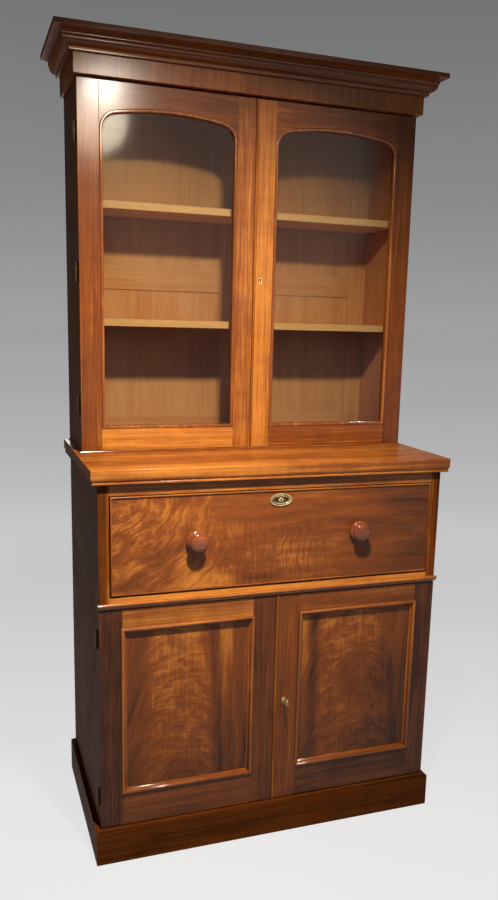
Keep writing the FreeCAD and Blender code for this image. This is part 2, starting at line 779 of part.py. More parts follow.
# Glazed doors
upper_heights = (z_upper_door + upper_hinge_inset, (z_upper_door + z_upper_door_top) / 2,
                 z_upper_door_top - upper_hinge_inset)
lower_heights = (z_lower_door + lower_hinge_inset, z_lower_door_top - lower_hinge_inset)
upper_right = upper_door(right_edge)
upper_left = upper_door(left_edge)
lower_right = lower_door(right_edge)
lower_left = lower_door(left_edge)
upper_hinges = hang(upper_right, half_upper, y_upper_door_back, upper_heights)
hang(upper_left, half_upper, y_upper_door_back, upper_heights)
lower_hinges = hang(lower_right, half_base, y_lower_door_back, lower_heights)
hang(lower_left, half_base, y_lower_door_back, lower_heights)
case_leaves = [piece for item in upper_hinges + lower_hinges for piece in item["case"]]
pins = [item["pin"] for item in upper_hinges + lower_hinges]
write("hinge_case_leaves", *case_leaves, *[mirrored(piece) for piece in case_leaves])
write("hinge_pins", *pins, *[mirrored(pin) for pin in pins])
upper_cuts = [cut for item in upper_hinges for cut in item["case_cuts"]] + peg_cuts["upper"]
base_cuts = [cut for item in lower_hinges for cut in item["case_cuts"]] + peg_cuts["base"]
upper_side = without(upper_side, *upper_cuts)
base_side = without(base_side, *base_cuts)
write("bookcase_side_right", upper_side)
write("bookcase_side_left", mirrored(upper_side))
write("base_side_right", base_side)
write("base_side_left", mirrored(base_side))

# Door locks and the beads that cover the meeting edges
door_tip = meeting_bead_width - lock_tip_inset
door_throw = lock_tip_inset + meeting_gap + lock_bolt_throw


def door_lock(door, other, bead_y, bead_z, z_lock, key_inset):
    """Fit a lock to a right-hand door, its bolt's mortise to the left-hand one, and the bead between them."""
    y_inner = bead_y[1]

    def place(u, v, w):
        return block((right_edge - v[0], right_edge - v[1]), (y_inner - w[0], y_inner - w[1]),
                     (z_lock + u[0], z_lock + u[1]))

    fitted = lock(place, door_tip, door_throw)
    x_key = right_edge + key_inset
    hole = keyhole(x_key, z_lock, (bead_y[0] - cut_over, y_inner - lock_thickness + lock_wall),
                   keyhole_radius, keyhole_slot, keyhole_drop)
    rim_y = (bead_y[0] - keyhole_rim_projection, bead_y[0])
    rim = keyhole(x_key, z_lock, rim_y, keyhole_radius + keyhole_rim, keyhole_slot + 2 * keyhole_rim,
                  keyhole_drop + keyhole_rim).cut(hole)
    door["stiles"][0] = without(door["stiles"][0], fitted["pocket"], hole)
    other["stiles"][0] = without(other["stiles"][0], mirrored(fitted["way"]))
    bead = without(meeting_bead(bead_y, bead_z), fitted["way"])
    return [fitted["case"].cut(hole), rim.removeSplitter()], fitted["bolt"], bead, x_key


upper_y = (y_upper_face, y_upper_door_back)
upper_z = (z_upper_door, z_upper_door_top)
z_upper_lock = z_upper_door + upper_lock_rise
upper_lock, upper_bolt, upper_bead, _ = door_lock(upper_right, upper_left, upper_y, upper_z, z_upper_lock,
                                                  upper_key_inset)
lower_y = (y_face, y_lower_door_back)
lower_z = (z_lower_door, z_lower_door_top)
z_lower_lock = z_lower_door + lower_lock_rise
lower_lock, lower_bolt, lower_bead, x_key = door_lock(lower_right, lower_left, lower_y, lower_z, z_lower_lock,
                                                      lower_key_inset)
write("upper_lock", *upper_lock)
write("upper_lock_bolt", upper_bolt)
write("lower_lock", *lower_lock)
write("lower_lock_bolt", lower_bolt)

# Key standing in the cupboard lock
bit_from = lock_wall + 2 * loose_gap + lock_bolt_thickness + loose_gap
y_key_tip = y_lower_door_back - bit_from
y_bow = y_face - key_reach + key_bow_radius + key_bow_wire
key = rod(key_shank_radius, Vector(x_key, y_bow, z_lower_lock), Y, y_key_tip - y_bow)
y_collar = y_face - keyhole_rim_projection - loose_gap - key_collar_length
key = key.fuse(rod(key_collar_radius, Vector(x_key, y_collar, z_lower_lock), Y, key_collar_length))
key = key.fuse(block((x_key - key_bit_thickness / 2, x_key + key_bit_thickness / 2),
                     (y_key_tip - key_bit_width, y_key_tip),
                     (z_lower_lock - key_shank_radius - key_bit_drop, z_lower_lock)))
bow_centre = Vector(x_key, y_bow - key_bow_radius, z_lower_lock)
key = key.fuse(Part.makeTorus(key_bow_radius, key_bow_wire, bow_centre, X))
write("lower_key", key.removeSplitter())
places["key"] = (x_key, y_face, z_lower_lock)

# Bolts inside the left doors
x_bolt = left_edge + bolt_inset
upper_shot = surface_bolt(x_bolt, y_upper_door_back, z_frieze - board_thickness)
lower_shot = surface_bolt(x_bolt, y_lower_door_back, z_rail)
write("bookcase_top", bookcase_top.cut(mirrored(upper_shot["hole"])))
write("upper_left_bolt", mirrored(upper_shot["rod"]))
write("lower_left_bolt", mirrored(lower_shot["rod"]))


def door_leaves(hinges):
    """Door-side leaves and screws of a set of hinges."""
    return [piece for item in hinges for piece in item["door"]]


write("upper_right_frame", *upper_right["stiles"], *upper_right["rails"], upper_bead)
write("upper_right_glass", upper_right["glass"])
write("upper_right_glazing_bead", *upper_right["beads"])
write("upper_right_brasses", *door_leaves(upper_hinges))
write("upper_left_frame", *[mirrored(piece) for piece in upper_left["stiles"] + upper_left["rails"]])
write("upper_left_glass", mirrored(upper_left["glass"]))
write("upper_left_glazing_bead", *[mirrored(piece) for piece in upper_left["beads"]])
upper_left_brasses = door_leaves(upper_hinges) + [upper_shot["plate"]]
write("upper_left_brasses", *[mirrored(piece) for piece in upper_left_brasses])
write("lower_right_frame", *lower_right["stiles"], *lower_right["rails"], lower_bead)
write("lower_right_panel", lower_right["panel"])
write("lower_right_moulding", *lower_right["moulding"])
write("lower_right_brasses", *door_leaves(lower_hinges))
write("lower_left_frame", *[mirrored(piece) for piece in lower_left["stiles"] + lower_left["rails"]])
write("lower_left_panel", mirrored(lower_left["panel"]))
write("lower_left_moulding", *[mirrored(piece) for piece in lower_left["moulding"]])
lower_left_brasses = door_leaves(lower_hinges) + [lower_shot["plate"]]
write("lower_left_brasses", *[mirrored(piece) for piece in lower_left_brasses])
places["upper_pin"] = upper_hinges[0]["pin_at"]
places["lower_pin"] = lower_hinges[0]["pin_at"]

# Fall front: board, cockbead, knobs, lock, stays and leather
fall_x = across(half_fall)
fall_z = (z_fall, z_fall_top)
nose = cockbead_width * cockbead_round_share
bead_outline = (
    (0, -cockbead_depth), (0, cockbead_projection - nose),
    ((nose, cockbead_projection), (cockbead_width, cockbead_projection - nose)),
    (cockbead_width, -cockbead_depth),
)
cockbead = four_sided(bead_outline, fall_x, fall_z, y_face, cockbead_width + cockbead_depth)
write("fall_cockbead", *cockbead)
knob_places = [(way * knob_spacing / 2, y_face, z_fall + knob_rise) for way in (-1, 1)]
knobs = [turned_knob(*place, knob_length, knob_radius, knob_dowel_radius, knob_dowel_length)
         for place in knob_places]
write("fall_knobs", *knobs)


def fall_place(u, v, w):
    return block(u, (y_fall_inner - w[0], y_fall_inner - w[1]), (z_fall_top + v[0], z_fall_top + v[1]))


fall_throw = lock_tip_inset + fall_top_gap + lock_bolt_throw
fall_lock = lock(fall_place, -lock_tip_inset, fall_throw)
z_key = z_fall_top - fall_key_inset
y_hole = (y_face - cut_over, y_fall_inner - lock_thickness + lock_wall)
hole = keyhole(0, z_key, y_hole, keyhole_radius, keyhole_slot, keyhole_drop)


def oval(inset, height):
    """Oval plate on the fall's face, drawn in by an inset."""
    curve = Part.Ellipse(Vector(0, 0, 0), escutcheon_width / 2 - inset, escutcheon_height / 2 - inset)
    plate = Part.Face(Part.Wire([curve.toShape()])).extrude(Z * height)
    plate.rotate(Vector(0, 0, 0), X, 90)
    plate.translate(Vector(0, y_face, z_key))
    return plate


rim = oval(0, escutcheon_rim_height).cut(oval(escutcheon_rim_width, escutcheon_rim_height))
boss = oval(escutcheon_rim_width + escutcheon_groove, escutcheon_rim_height)
escutcheon = oval(0, escutcheon_thickness).fuse(rim).fuse(boss).cut(hole)
write("fall_lock", fall_lock["case"].cut(hole), escutcheon.removeSplitter())
write("fall_lock_bolt", fall_lock["bolt"])

leather = block(across(half_fall - leather_side_margin), (y_fall_inner - leather_thickness, y_fall_inner),
                (z_drawer_floor + leather_end_margin / 2, z_fall_top - lock_depth - leather_end_margin / 2))
write("writing_leather", leather)

outer_radius = quadrant_radius + quadrant_width / 2
inner_radius = quadrant_radius - quadrant_width / 2
tail = -math.asin((z_pivot - z_rail_top - quadrant_tail_gap) / outer_radius)
root = math.acos((fall_thickness - pivot_setback - quadrant_tenon) / quadrant_radius)
x_quadrant = half_drawer_inside - (quadrant_room + quadrant_thickness) / 2


def polar(radius, angle):
    return Vector(x_quadrant, y_pivot + radius * math.cos(angle), z_pivot + radius * math.sin(angle))


middle = (tail + root) / 2
quadrant = face(polar, (outer_radius, root), ((outer_radius, middle), (outer_radius, tail)),
                (inner_radius, tail), ((inner_radius, middle), (inner_radius, root)))
quadrant = quadrant.extrude(X * quadrant_thickness)
write("fall_quadrants", quadrant, mirrored(quadrant))

pin_start = Vector(half_fall - pivot_pin_length, y_pivot, z_pivot)
pin = rod(pivot_pin_radius, pin_start, X, half_drawer - half_fall + pivot_pin_length)
plate_x = (half_drawer - pivot_plate_thickness, half_drawer)
plate = block(plate_x, (y_pivot, y_pivot + pivot_plate_length),
              (z_pivot - pivot_plate_radius, z_pivot + pivot_plate_radius))
plate = plate.fuse(rod(pivot_plate_radius, Vector(plate_x[0], y_pivot, z_pivot), X, pivot_plate_thickness))
pivot = plate.fuse(pin).removeSplitter()
write("fall_pivots", pivot, mirrored(pivot))
pin_bore = rod(pivot_pin_radius + fit_gap, pin_start - X * loose_gap, X, pivot_pin_length + cut_over)

fall = block(fall_x, (y_face, y_fall_inner), fall_z)
fall = without(fall, *cockbead, *knobs, fall_lock["pocket"], fall_lock["way"], hole, leather, quadrant,
               mirrored(quadrant), pin_bore, mirrored(pin_bore))
write("fall_front", fall)
places["fall_pivot"] = (0, y_pivot, z_pivot)

# Drawer that carries the fall
swing_radius = math.hypot(fall_thickness - pivot_setback, pivot_rise) + swing_gap / 2
swing = rod(swing_radius, Vector(-half_base, y_pivot, z_pivot), X, base_width)
y_drawer_front = y_fall_inner + pivot_plate_gap
y_drawer_back = y_at(back_thickness + drawer_back_gap)
y_drawer_inner = y_drawer_back - drawer_side_thickness
z_drawer_top = z_top_rail - drawer_side_top_gap
floor_z = (z_drawer_floor - drawer_floor_thickness, z_drawer_floor)
slot_room = (quadrant_radius - quadrant_width / 2 - quadrant_slot_gap,
             quadrant_radius + quadrant_width / 2 + quadrant_slot_gap)
slot = block((x_quadrant - loose_gap * 2, x_quadrant + quadrant_thickness + loose_gap * 2),
             (y_pivot + slot_room[0], y_pivot + slot_room[1]), (floor_z[0] - cut_over, floor_z[1] + cut_over))
floor_y = (y_drawer_front, y_drawer_inner + drawer_groove)
floor = block(across(half_drawer_inside + drawer_groove), floor_y, floor_z)
floor = without(floor, swing, slot, mirrored(slot))
write("drawer_floor", floor)
drawer_side = block((half_drawer_inside, half_drawer), (y_drawer_front, y_drawer_back),
                    (z_drawer_bottom, z_drawer_top))
drawer_side = without(drawer_side, swing, floor, plate)
drawer_back = block(across(half_drawer_inside), (y_drawer_inner, y_drawer_back),
                    (z_drawer_bottom, z_drawer_top)).cut(floor)
write("drawer_box", drawer_side, mirrored(drawer_side), drawer_back)

# Rails and stiles round the drawer
top_rail = block(across(half_opening), depths(base_depth - rail_depth, base_depth), (z_top_rail, z_base_top))
low_rail = block(across(half_opening), depths(base_depth - rail_depth, base_depth), (z_rail, z_rail_top))
stile = block((half_opening, half_inside), depths(base_depth - rail_depth, base_depth), (z_rail, z_base_top))
write("drawer_rails", top_rail.cut(fall_lock["way"]), low_rail.cut(mirrored(lower_shot["hole"])),
      stile, mirrored(stile))

# Pigeonholes and small drawers
z_fit = (z_drawer_floor, z_drawer_floor + fitment_height)
y_fit = (y_drawer_inner - fitment_depth, y_drawer_inner)
inside = half_fitment - fitment_board
z_cell = z_fit[0] + fitment_board
z_shelf = z_cell + small_drawer_height + 2 * small_drawer_gap
y_inside = (y_fit[0], y_fit[1] - fitment_board)
fit_side = block((inside, half_fitment), y_fit, z_fit)
boards = [fit_side, mirrored(fit_side), block(across(inside), (y_inside[1], y_fit[1]), z_fit)]
levels = (z_fit[0], z_shelf, z_fit[1] - fitment_board)
boards += [block(across(inside), y_inside, (level, level + fitment_board)) for level in levels]


def cells(count):
    """Limits along X of equal spaces between the fitment's sides."""
    wide = (2 * inside - (count - 1) * fitment_board) / count
    starts = [-inside + index * (wide + fitment_board) for index in range(count)]
    return [(start, start + wide) for start in starts]


hole_z = (z_shelf + fitment_board, z_fit[1] - fitment_board)
hole_cells = cells(pigeonhole_count)
boards += [block((cell[1], cell[1] + fitment_board), y_inside, hole_z) for cell in hole_cells[:-1]]
drawer_cells = cells(small_drawer_count)
low_z = (z_cell, z_shelf)
boards += [block((cell[1], cell[1] + fitment_board), y_inside, low_z) for cell in drawer_cells[:-1]]
write("pigeonhole_case", *boards)

drawer_z = (z_cell + loose_gap, z_cell + loose_gap + small_drawer_height)
names = ("small_drawer_left", "small_drawer_middle", "small_drawer_right")
small_y = (y_inside[0], y_inside[1] - small_drawer_back_gap)
places["small_drawers"] = []
for name, cell in zip(names, drawer_cells):
    x = (cell[0] + small_drawer_gap, cell[1] - small_drawer_gap)
    y_box = small_y[0] + small_drawer_front
    wall = small_drawer_wall
    inner_x = (x[0] + wall, x[1] - wall)
    inner_y = (y_box, small_y[1] - wall)
    middle_x = (x[0] + x[1]) / 2
    middle_z = (drawer_z[0] + drawer_z[1]) / 2
    knob = turned_knob(middle_x, small_y[0], middle_z, small_knob_length, small_knob_radius,
                       small_knob_radius * knob_neck_share / 2, small_drawer_front)
    write(name, block(x, (small_y[0], y_box), drawer_z).cut(knob), knob,
          block((x[0], inner_x[0]), (y_box, small_y[1]), drawer_z),
          block((inner_x[1], x[1]), (y_box, small_y[1]), drawer_z),
          block(inner_x, (inner_y[1], small_y[1]), drawer_z),
          block(inner_x, inner_y, (drawer_z[0], drawer_z[0] + wall)))
    places["small_drawers"].append([inner_x, inner_y, (drawer_z[0] + wall, drawer_z[1])])

# Clear spaces for what the cabinet holds
shelf_y = depths(upper_back_thickness + shelf_end_gap, upper_depth - shelf_setback)
tops = [z_bookcase] + [z_bookcase + rise for rise in shelf_rises]
ceilings = [z_bookcase + rise - shelf_thickness for rise in shelf_rises] + [z_frieze - board_thickness]
places["bays"] = [[across(half_upper_inside), shelf_y, span] for span in zip(tops, ceilings)]
cupboard_y = depths(back_thickness + shelf_end_gap, cupboard_front)
places["cupboard"] = [[across(half_inside), cupboard_y, (z_cupboard, z_cupboard_shelf)],
                      [across(half_inside), cupboard_y, (z_cupboard_shelf + board_thickness, runner_z[0])]]
places["writing_space"] = [across(half_fitment), (y_drawer_front, y_fit[0]), (z_drawer_floor, z_drawer_top)]
places["pigeonholes"] = [[cell, y_inside, hole_z] for cell in hole_cells]
places["travels"] = {"door_bolt": door_throw, "fall_bolt": fall_throw, "surface_bolt": bolt_travel}
print(json.dumps(places))
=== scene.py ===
# %% [markdown]
# A secretaire bookcase in polished mahogany, dressed for pictures.
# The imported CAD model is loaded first, as a fixed frame in metres: z is up, the front looks towards -y, and every
# board, door and brass is already in its place. This lesson makes the surfaces: boards with eased edges and their
# own grain, French polish, glass, brass and leather, and then the light and the camera.

# %% Load the frame
import json
import math
import random

import bmesh
import bpy
from mathutils import Matrix, Vector

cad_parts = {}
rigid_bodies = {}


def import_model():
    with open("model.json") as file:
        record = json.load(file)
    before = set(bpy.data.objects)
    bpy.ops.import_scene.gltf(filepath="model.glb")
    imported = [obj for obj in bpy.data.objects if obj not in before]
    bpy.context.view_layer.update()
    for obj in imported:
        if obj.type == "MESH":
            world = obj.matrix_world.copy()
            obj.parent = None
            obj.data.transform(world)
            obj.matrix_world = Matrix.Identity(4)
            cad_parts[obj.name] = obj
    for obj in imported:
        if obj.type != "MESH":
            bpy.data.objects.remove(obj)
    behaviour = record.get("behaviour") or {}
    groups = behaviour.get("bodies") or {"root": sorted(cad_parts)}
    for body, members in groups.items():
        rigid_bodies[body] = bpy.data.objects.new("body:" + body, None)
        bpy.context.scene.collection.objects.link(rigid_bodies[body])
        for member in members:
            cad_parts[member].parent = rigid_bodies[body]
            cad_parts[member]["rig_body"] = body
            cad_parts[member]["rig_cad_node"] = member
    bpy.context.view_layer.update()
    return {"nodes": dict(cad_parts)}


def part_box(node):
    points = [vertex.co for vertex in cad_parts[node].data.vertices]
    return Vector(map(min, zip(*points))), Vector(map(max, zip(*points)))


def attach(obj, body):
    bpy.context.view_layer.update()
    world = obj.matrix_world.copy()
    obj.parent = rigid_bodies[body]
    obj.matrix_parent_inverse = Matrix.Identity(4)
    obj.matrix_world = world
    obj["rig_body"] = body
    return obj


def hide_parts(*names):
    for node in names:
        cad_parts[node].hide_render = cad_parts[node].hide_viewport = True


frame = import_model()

# %% [markdown]
# The camera stands where the photograph was taken: left of the middle, at eye height, turned to the right and tipped
# down a little. Its place, turn and lens come from matching the cabinet's corners to the photograph, with the image
# taken as 498 by 900 pixels. A small shift moves the lens axis to where the photograph has it.

# %% Camera
IMAGE_HEIGHT = 900.0
SENSOR = 36.0
FOCAL_PIXELS = 849.15
AXIS_OFF_CENTRE = (24.4, 34.7)
CAMERA_PLACE = Vector((-0.8153, -2.3723, 1.4898))
YAW, PITCH, ROLL = 0.3573, -0.1942, 0.0286

forward = Vector((math.sin(YAW) * math.cos(PITCH), math.cos(YAW) * math.cos(PITCH), math.sin(PITCH)))
level_right = Vector((math.cos(YAW), -math.sin(YAW), 0.0))
level_up = level_right.cross(forward)
right = math.cos(ROLL) * level_right + math.sin(ROLL) * level_up
up = math.cos(ROLL) * level_up - math.sin(ROLL) * level_right

bpy.ops.object.select_all(action="DESELECT")
bpy.ops.object.camera_add(location=CAMERA_PLACE)
camera = bpy.context.active_object
camera.name = "photo_camera"
camera.rotation_euler = Matrix((right, up, -forward)).transposed().to_euler()
camera.data.sensor_width = SENSOR
camera.data.lens = FOCAL_PIXELS / IMAGE_HEIGHT * SENSOR
camera.data.shift_x = -AXIS_OFF_CENTRE[0] / IMAGE_HEIGHT
camera.data.shift_y = AXIS_OFF_CENTRE[1] / IMAGE_HEIGHT
bpy.context.scene.camera = camera
print("camera lens", round(camera.data.lens, 2), "mm")

# %% [markdown]
# Shaders are graphs of nodes, and long sums are hard to read as nodes. The small class Wire wraps a socket so that
# 1 - mask or streak * 0.4 + drift can be written as Python, and each operator adds its Math node.


# %% Sums of sockets
class Wire:
    """One socket of a finish, which can be added, subtracted, multiplied and divided."""

    def __init__(self, finish, socket):
        self.finish = finish
        self.socket = socket

    def __add__(self, other):
        return self.finish.maths("ADD", self, other)

    def __radd__(self, other):
        return self.finish.maths("ADD", other, self)

    def __sub__(self, other):
        return self.finish.maths("SUBTRACT", self, other)

    def __rsub__(self, other):
        return self.finish.maths("SUBTRACT", other, self)

    def __mul__(self, other):
        return self.finish.maths("MULTIPLY", self, other)

    def __rmul__(self, other):
        return self.finish.maths("MULTIPLY", other, self)

    def __truediv__(self, other):
        return self.finish.maths("DIVIDE", self, other)

    def __abs__(self):
        return self.finish.maths("ABSOLUTE", self)


print("sockets can be added, subtracted, multiplied and divided")


# %% [markdown]
# Finish holds the nodes of one material. Its method node adds any node: its type, its settings, then the values or
# wires of its sockets. The other methods are short names for the nodes that the finishes below use again and again.

# %% A finish and its nodes
class Finish:
    """The nodes of one material, or of the world, added one by one."""

    def __init__(self, owner):
        owner.use_nodes = True
        self.owner = owner
        self.tree = owner.node_tree
        self.tree.nodes.clear()

    def node(self, kind, settings=None, inputs=None, output=0):
        """Add a node and give back one of its outputs."""
        made = self.tree.nodes.new(kind)
        for key, value in (settings or {}).items():
            if key == "stops":
                ramp = made.color_ramp.elements
                while len(ramp) < len(value):
                    ramp.new(1.0)
                for element, (position, colour) in zip(ramp, value):
                    element.position = position
                    element.color = colour
            else:
                setattr(made, key, value)
        for key, value in (inputs or {}).items():
            if isinstance(value, Wire):
                self.tree.links.new(value.socket, made.inputs[key])
            else:
                made.inputs[key].default_value = value
        return Wire(self, made.outputs[output])

    def maths(self, operation, first, second=0.0):
        return self.node("ShaderNodeMath", {"operation": operation}, {0: first, 1: second})

    def place(self):
        """Where a point lies, in metres."""
        return self.node("ShaderNodeTexCoord", output="Object")

    def noise(self, place, scale, detail=2.0, rough=0.5, output="Fac"):
        """Clouds from 0 to 1, with a scale for each direction: a small one draws them out into streaks."""
        scaled = self.node("ShaderNodeMapping", {}, {"Vector": place, "Scale": scale})
        return self.node("ShaderNodeTexNoise", {}, {"Vector": scaled, "Scale": 1.0, "Detail": detail,
                                                   "Roughness": rough}, output)

    def point(self, x, y, z=0.0):
        return self.node("ShaderNodeCombineXYZ", {}, {0: x, 1: y, 2: z})

    def step(self, value, low, high):
        """A soft step from 0 at the low value to 1 at the high one."""
        return self.node("ShaderNodeMapRange", {"interpolation_type": "SMOOTHSTEP"},
                         {"Value": value, "From Min": low, "From Max": high})

    def mix(self, share, first, second):
        return self.node("ShaderNodeMix", {"data_type": "RGBA"}, {0: share, 6: first, 7: second}, 2)

    def bump(self, height, strength, distance):
        return self.node("ShaderNodeBump", {}, {"Height": height, "Strength": strength, "Distance": distance})

    def attribute(self, name, output):
        return self.node("ShaderNodeAttribute", {"attribute_name": name}, output=output)

    def parts(self, vector):
        split = self.node("ShaderNodeSeparateXYZ", {}, {0: vector})
        return [Wire(self, socket) for socket in split.socket.node.outputs]

    def end(self, shader, kind="ShaderNodeOutputMaterial"):
        outlet = self.tree.nodes.new(kind)
        self.tree.links.new(shader.socket, outlet.inputs["Surface"])
        return self.owner


def tint(red, green, blue):
    """A colour given as it looks on a screen, 0 to 255, as the linear values that a shader takes."""
    shares = [value / 255 for value in (red, green, blue)]
    linear = [share / 12.92 if share < 0.04045 else ((share + 0.055) / 1.055) ** 2.4 for share in shares]
    return (*linear, 1.0)


print("middle grey is", round(tint(128, 128, 128)[0], 3), "in linear light")

# %% [markdown]
# Mahogany shows straight grain: long streaks that follow the board, a slow drift from light to dark, and fine dark
# pores like pen strokes. Object coordinates would run through neighbouring boards as if they were one block, so each
# board carries an attribute called grain instead: its first number runs along the board, the others across it.
# A second attribute, tone, makes one board darker or paler than the next, partly as its own colour and partly as
# painted light and shade, and a third, polish, says how much shine the board has. The streaks are noises that are
# drawn out along the board, and a constant brings their sum back to a mean of one half.

# %% Straight grain
SWAY_SCALE = (1.3, 5.0, 5.0)
SWAY_REACH = (0.0, 0.03, 0.03)
DRIFT_SCALE = (0.9, 9.0, 9.0)
RIBBON_SCALE = (2.2, 48.0, 48.0)
LINE_SCALE = (4.0, 230.0, 230.0)
MOTTLE_SCALE = (18.0, 10.0, 10.0)
BACK_TO_MIDDLE = 0.425
QUIET = 0.5


def straight_figure(finish, grain):
    """Streaks along the board, from 0, dark, to 1, light."""
    sway = finish.noise(grain, SWAY_SCALE, output="Color")
    swayed = finish.node("ShaderNodeVectorMath", {"operation": "MULTIPLY_ADD"}, {0: sway, 1: SWAY_REACH, 2: grain})
    drift = finish.noise(swayed, DRIFT_SCALE, 3.0, 0.55)
    ribbon = finish.noise(swayed, RIBBON_SCALE, 4.0, 0.6)
    lines = finish.noise(swayed, LINE_SCALE, 3.0, 0.6)
    mottle = finish.noise(grain, MOTTLE_SCALE, 3.0, 0.6)
    return 0.5 * drift + 0.5 * ribbon + 0.6 * lines + 0.25 * mottle - BACK_TO_MIDDLE


def quiet_figure(finish, grain):
    """The same streaks at half their strength, for plain veneer, the sides and boards that were never polished."""
    return (1 - QUIET) / 2 + QUIET * straight_figure(finish, grain)


print("figures ready:", straight_figure.__name__, "and", quiet_figure.__name__)

# %% [markdown]
# One function makes every wood finish. The figure picks a colour between dark, middle and light, the pores darken it
# and are pressed in a little, and a coat of French polish lies on top, thinner where it is worn. The mouldings catch
# more light than the boards, because hands and dusters rub them, and the sides catch nearly none.

# %% Polished mahogany
MAHOGANY = (tint(56, 26, 9), tint(126, 65, 22), tint(206, 130, 52))
# The sides' darkest colour is darker than the front's: partly end grain and partly painted shade.
SIDE_MAHOGANY_WITH_PAINTED_SHADE = (tint(38, 17, 6), *MAHOGANY[1:])
PORE_BROWN = tint(34, 14, 5)
COLOUR_STOPS = (0.08, 0.5, 0.92)
PORE_SCALE = (34.0, 1150.0, 1150.0)
PORE_EDGES = (0.60, 0.72)
PORE_ROUGHNESS = 0.12
WEAR_SCALE = (9.0, 9.0, 9.0)
WEAR_ROUGHNESS = 0.22
COAT_LEAST, COAT_SPREAD = 0.7, 0.6
FIGURE_HEIGHT = 0.3
WOOD_BUMP = {"strength": 0.15, "distance": 0.0004}


def polished_wood(name, figure, colours, gloss=0.42, coat=0.36, pore_depth=0.55, blur=0.18, sheen=0.04):
    """A wood finish: its figure picks the colour, pores darken it, and a coat of polish lies on top."""
    finish = Finish(bpy.data.materials.new(name))
    grain = finish.attribute("grain", "Vector")
    tone = finish.attribute("tone", "Fac")
    polish = finish.attribute("polish", "Fac")
    level = figure(finish, grain)
    # The tone moves the figure darker or paler: partly the board's own colour, partly painted light and shade.
    colour = finish.node("ShaderNodeValToRGB", {"stops": list(zip(COLOUR_STOPS, colours))}, {0: level + tone})
    pore = finish.step(finish.noise(grain, PORE_SCALE), *PORE_EDGES)
    wear = finish.noise(grain, WEAR_SCALE, 4.0, 0.6)
    height = FIGURE_HEIGHT * level - pore_depth * pore
    shader = finish.node("ShaderNodeBsdfPrincipled", {}, {
        "Base Color": finish.mix(pore_depth * pore, colour, PORE_BROWN),
        "Roughness": gloss + WEAR_ROUGHNESS * wear + PORE_ROUGHNESS * pore,
        "Specular IOR Level": sheen,
        "Coat Weight": coat * polish * (COAT_LEAST + COAT_SPREAD * wear),
        "Coat Roughness": blur,
        "Normal": finish.bump(height, **WOOD_BUMP),
    })
    return finish.end(shader)


mahogany = polished_wood("polished_mahogany", straight_figure, MAHOGANY)
moulding_wood = polished_wood("rubbed_mahogany_mouldings", straight_figure, MAHOGANY, coat=0.7, blur=0.1)
frieze_veneer = polished_wood("cross_banded_frieze", quiet_figure, MAHOGANY, blur=0.24)
side_wood_with_painted_shade = polished_wood("dull_mahogany_sides_with_painted_shade", quiet_figure, SIDE_MAHOGANY_WITH_PAINTED_SHADE, coat=0.02, sheen=0.012)
print("made", mahogany.name, moulding_wood.name, frieze_veneer.name, "and", side_wood_with_painted_shade.name)

# %% [markdown]
# The cupboard panels are flame mahogany, veneer cut from the crotch of the tree: a pale plume rises in the middle,
# rippled across like a feather, and straight darker grain leans away from it on both sides. The plume is drawn with
# sums on the panel's own grain coordinates, taken as -1 to 1 from edge to edge: a plume with a place and a width,
# ripples that arch over darker hollows, a golden streak beside the plume and leaning streaks outside it.

# %% Flame mahogany of the panels
PANEL_HALF_WIDTH = 0.1915
PANEL_HALF_HEIGHT = 0.2435
WAVER_SCALE = (9.0, 9.0, 0.0)
RIPPLE_SCALE = (19.0, 4.0, 1.0)
FEATHER_SCALE = (6.0, 3.5, 1.0)
THREAD_SCALE = (2.0, 26.0, 1.0)
STREAK_SCALE = (0.9, 9.0, 1.0)
HEART_EDGES = (0.65, 1.15)
HOLLOW_HALF_WIDTH = 0.55
HOLLOW_HALF_HEIGHT = 0.45
HOLLOW_EDGES = (0.1, 1.3)
LEAN_EDGES = (-0.6, 0.2)
GOLD_EDGES = (0.03, 0.2)
GOLD_RISE = (-1.1, 0.9)
SHADE_EDGES = (0.02, 0.13)
# The last of these is painted light: each panel is painted paler upwards and darker towards its foot.
GOLD_LIGHT, GOLD_SHADE, HOLLOW_SHADE, PAINTED_LIGHT_UPWARDS = 0.30, 0.16, 0.15, 0.10


def hump(finish, value, inner, outer):
    """1 where the value is near zero, falling to 0 from the inner to the outer distance."""
    return 1 - finish.step(abs(value), inner, outer)


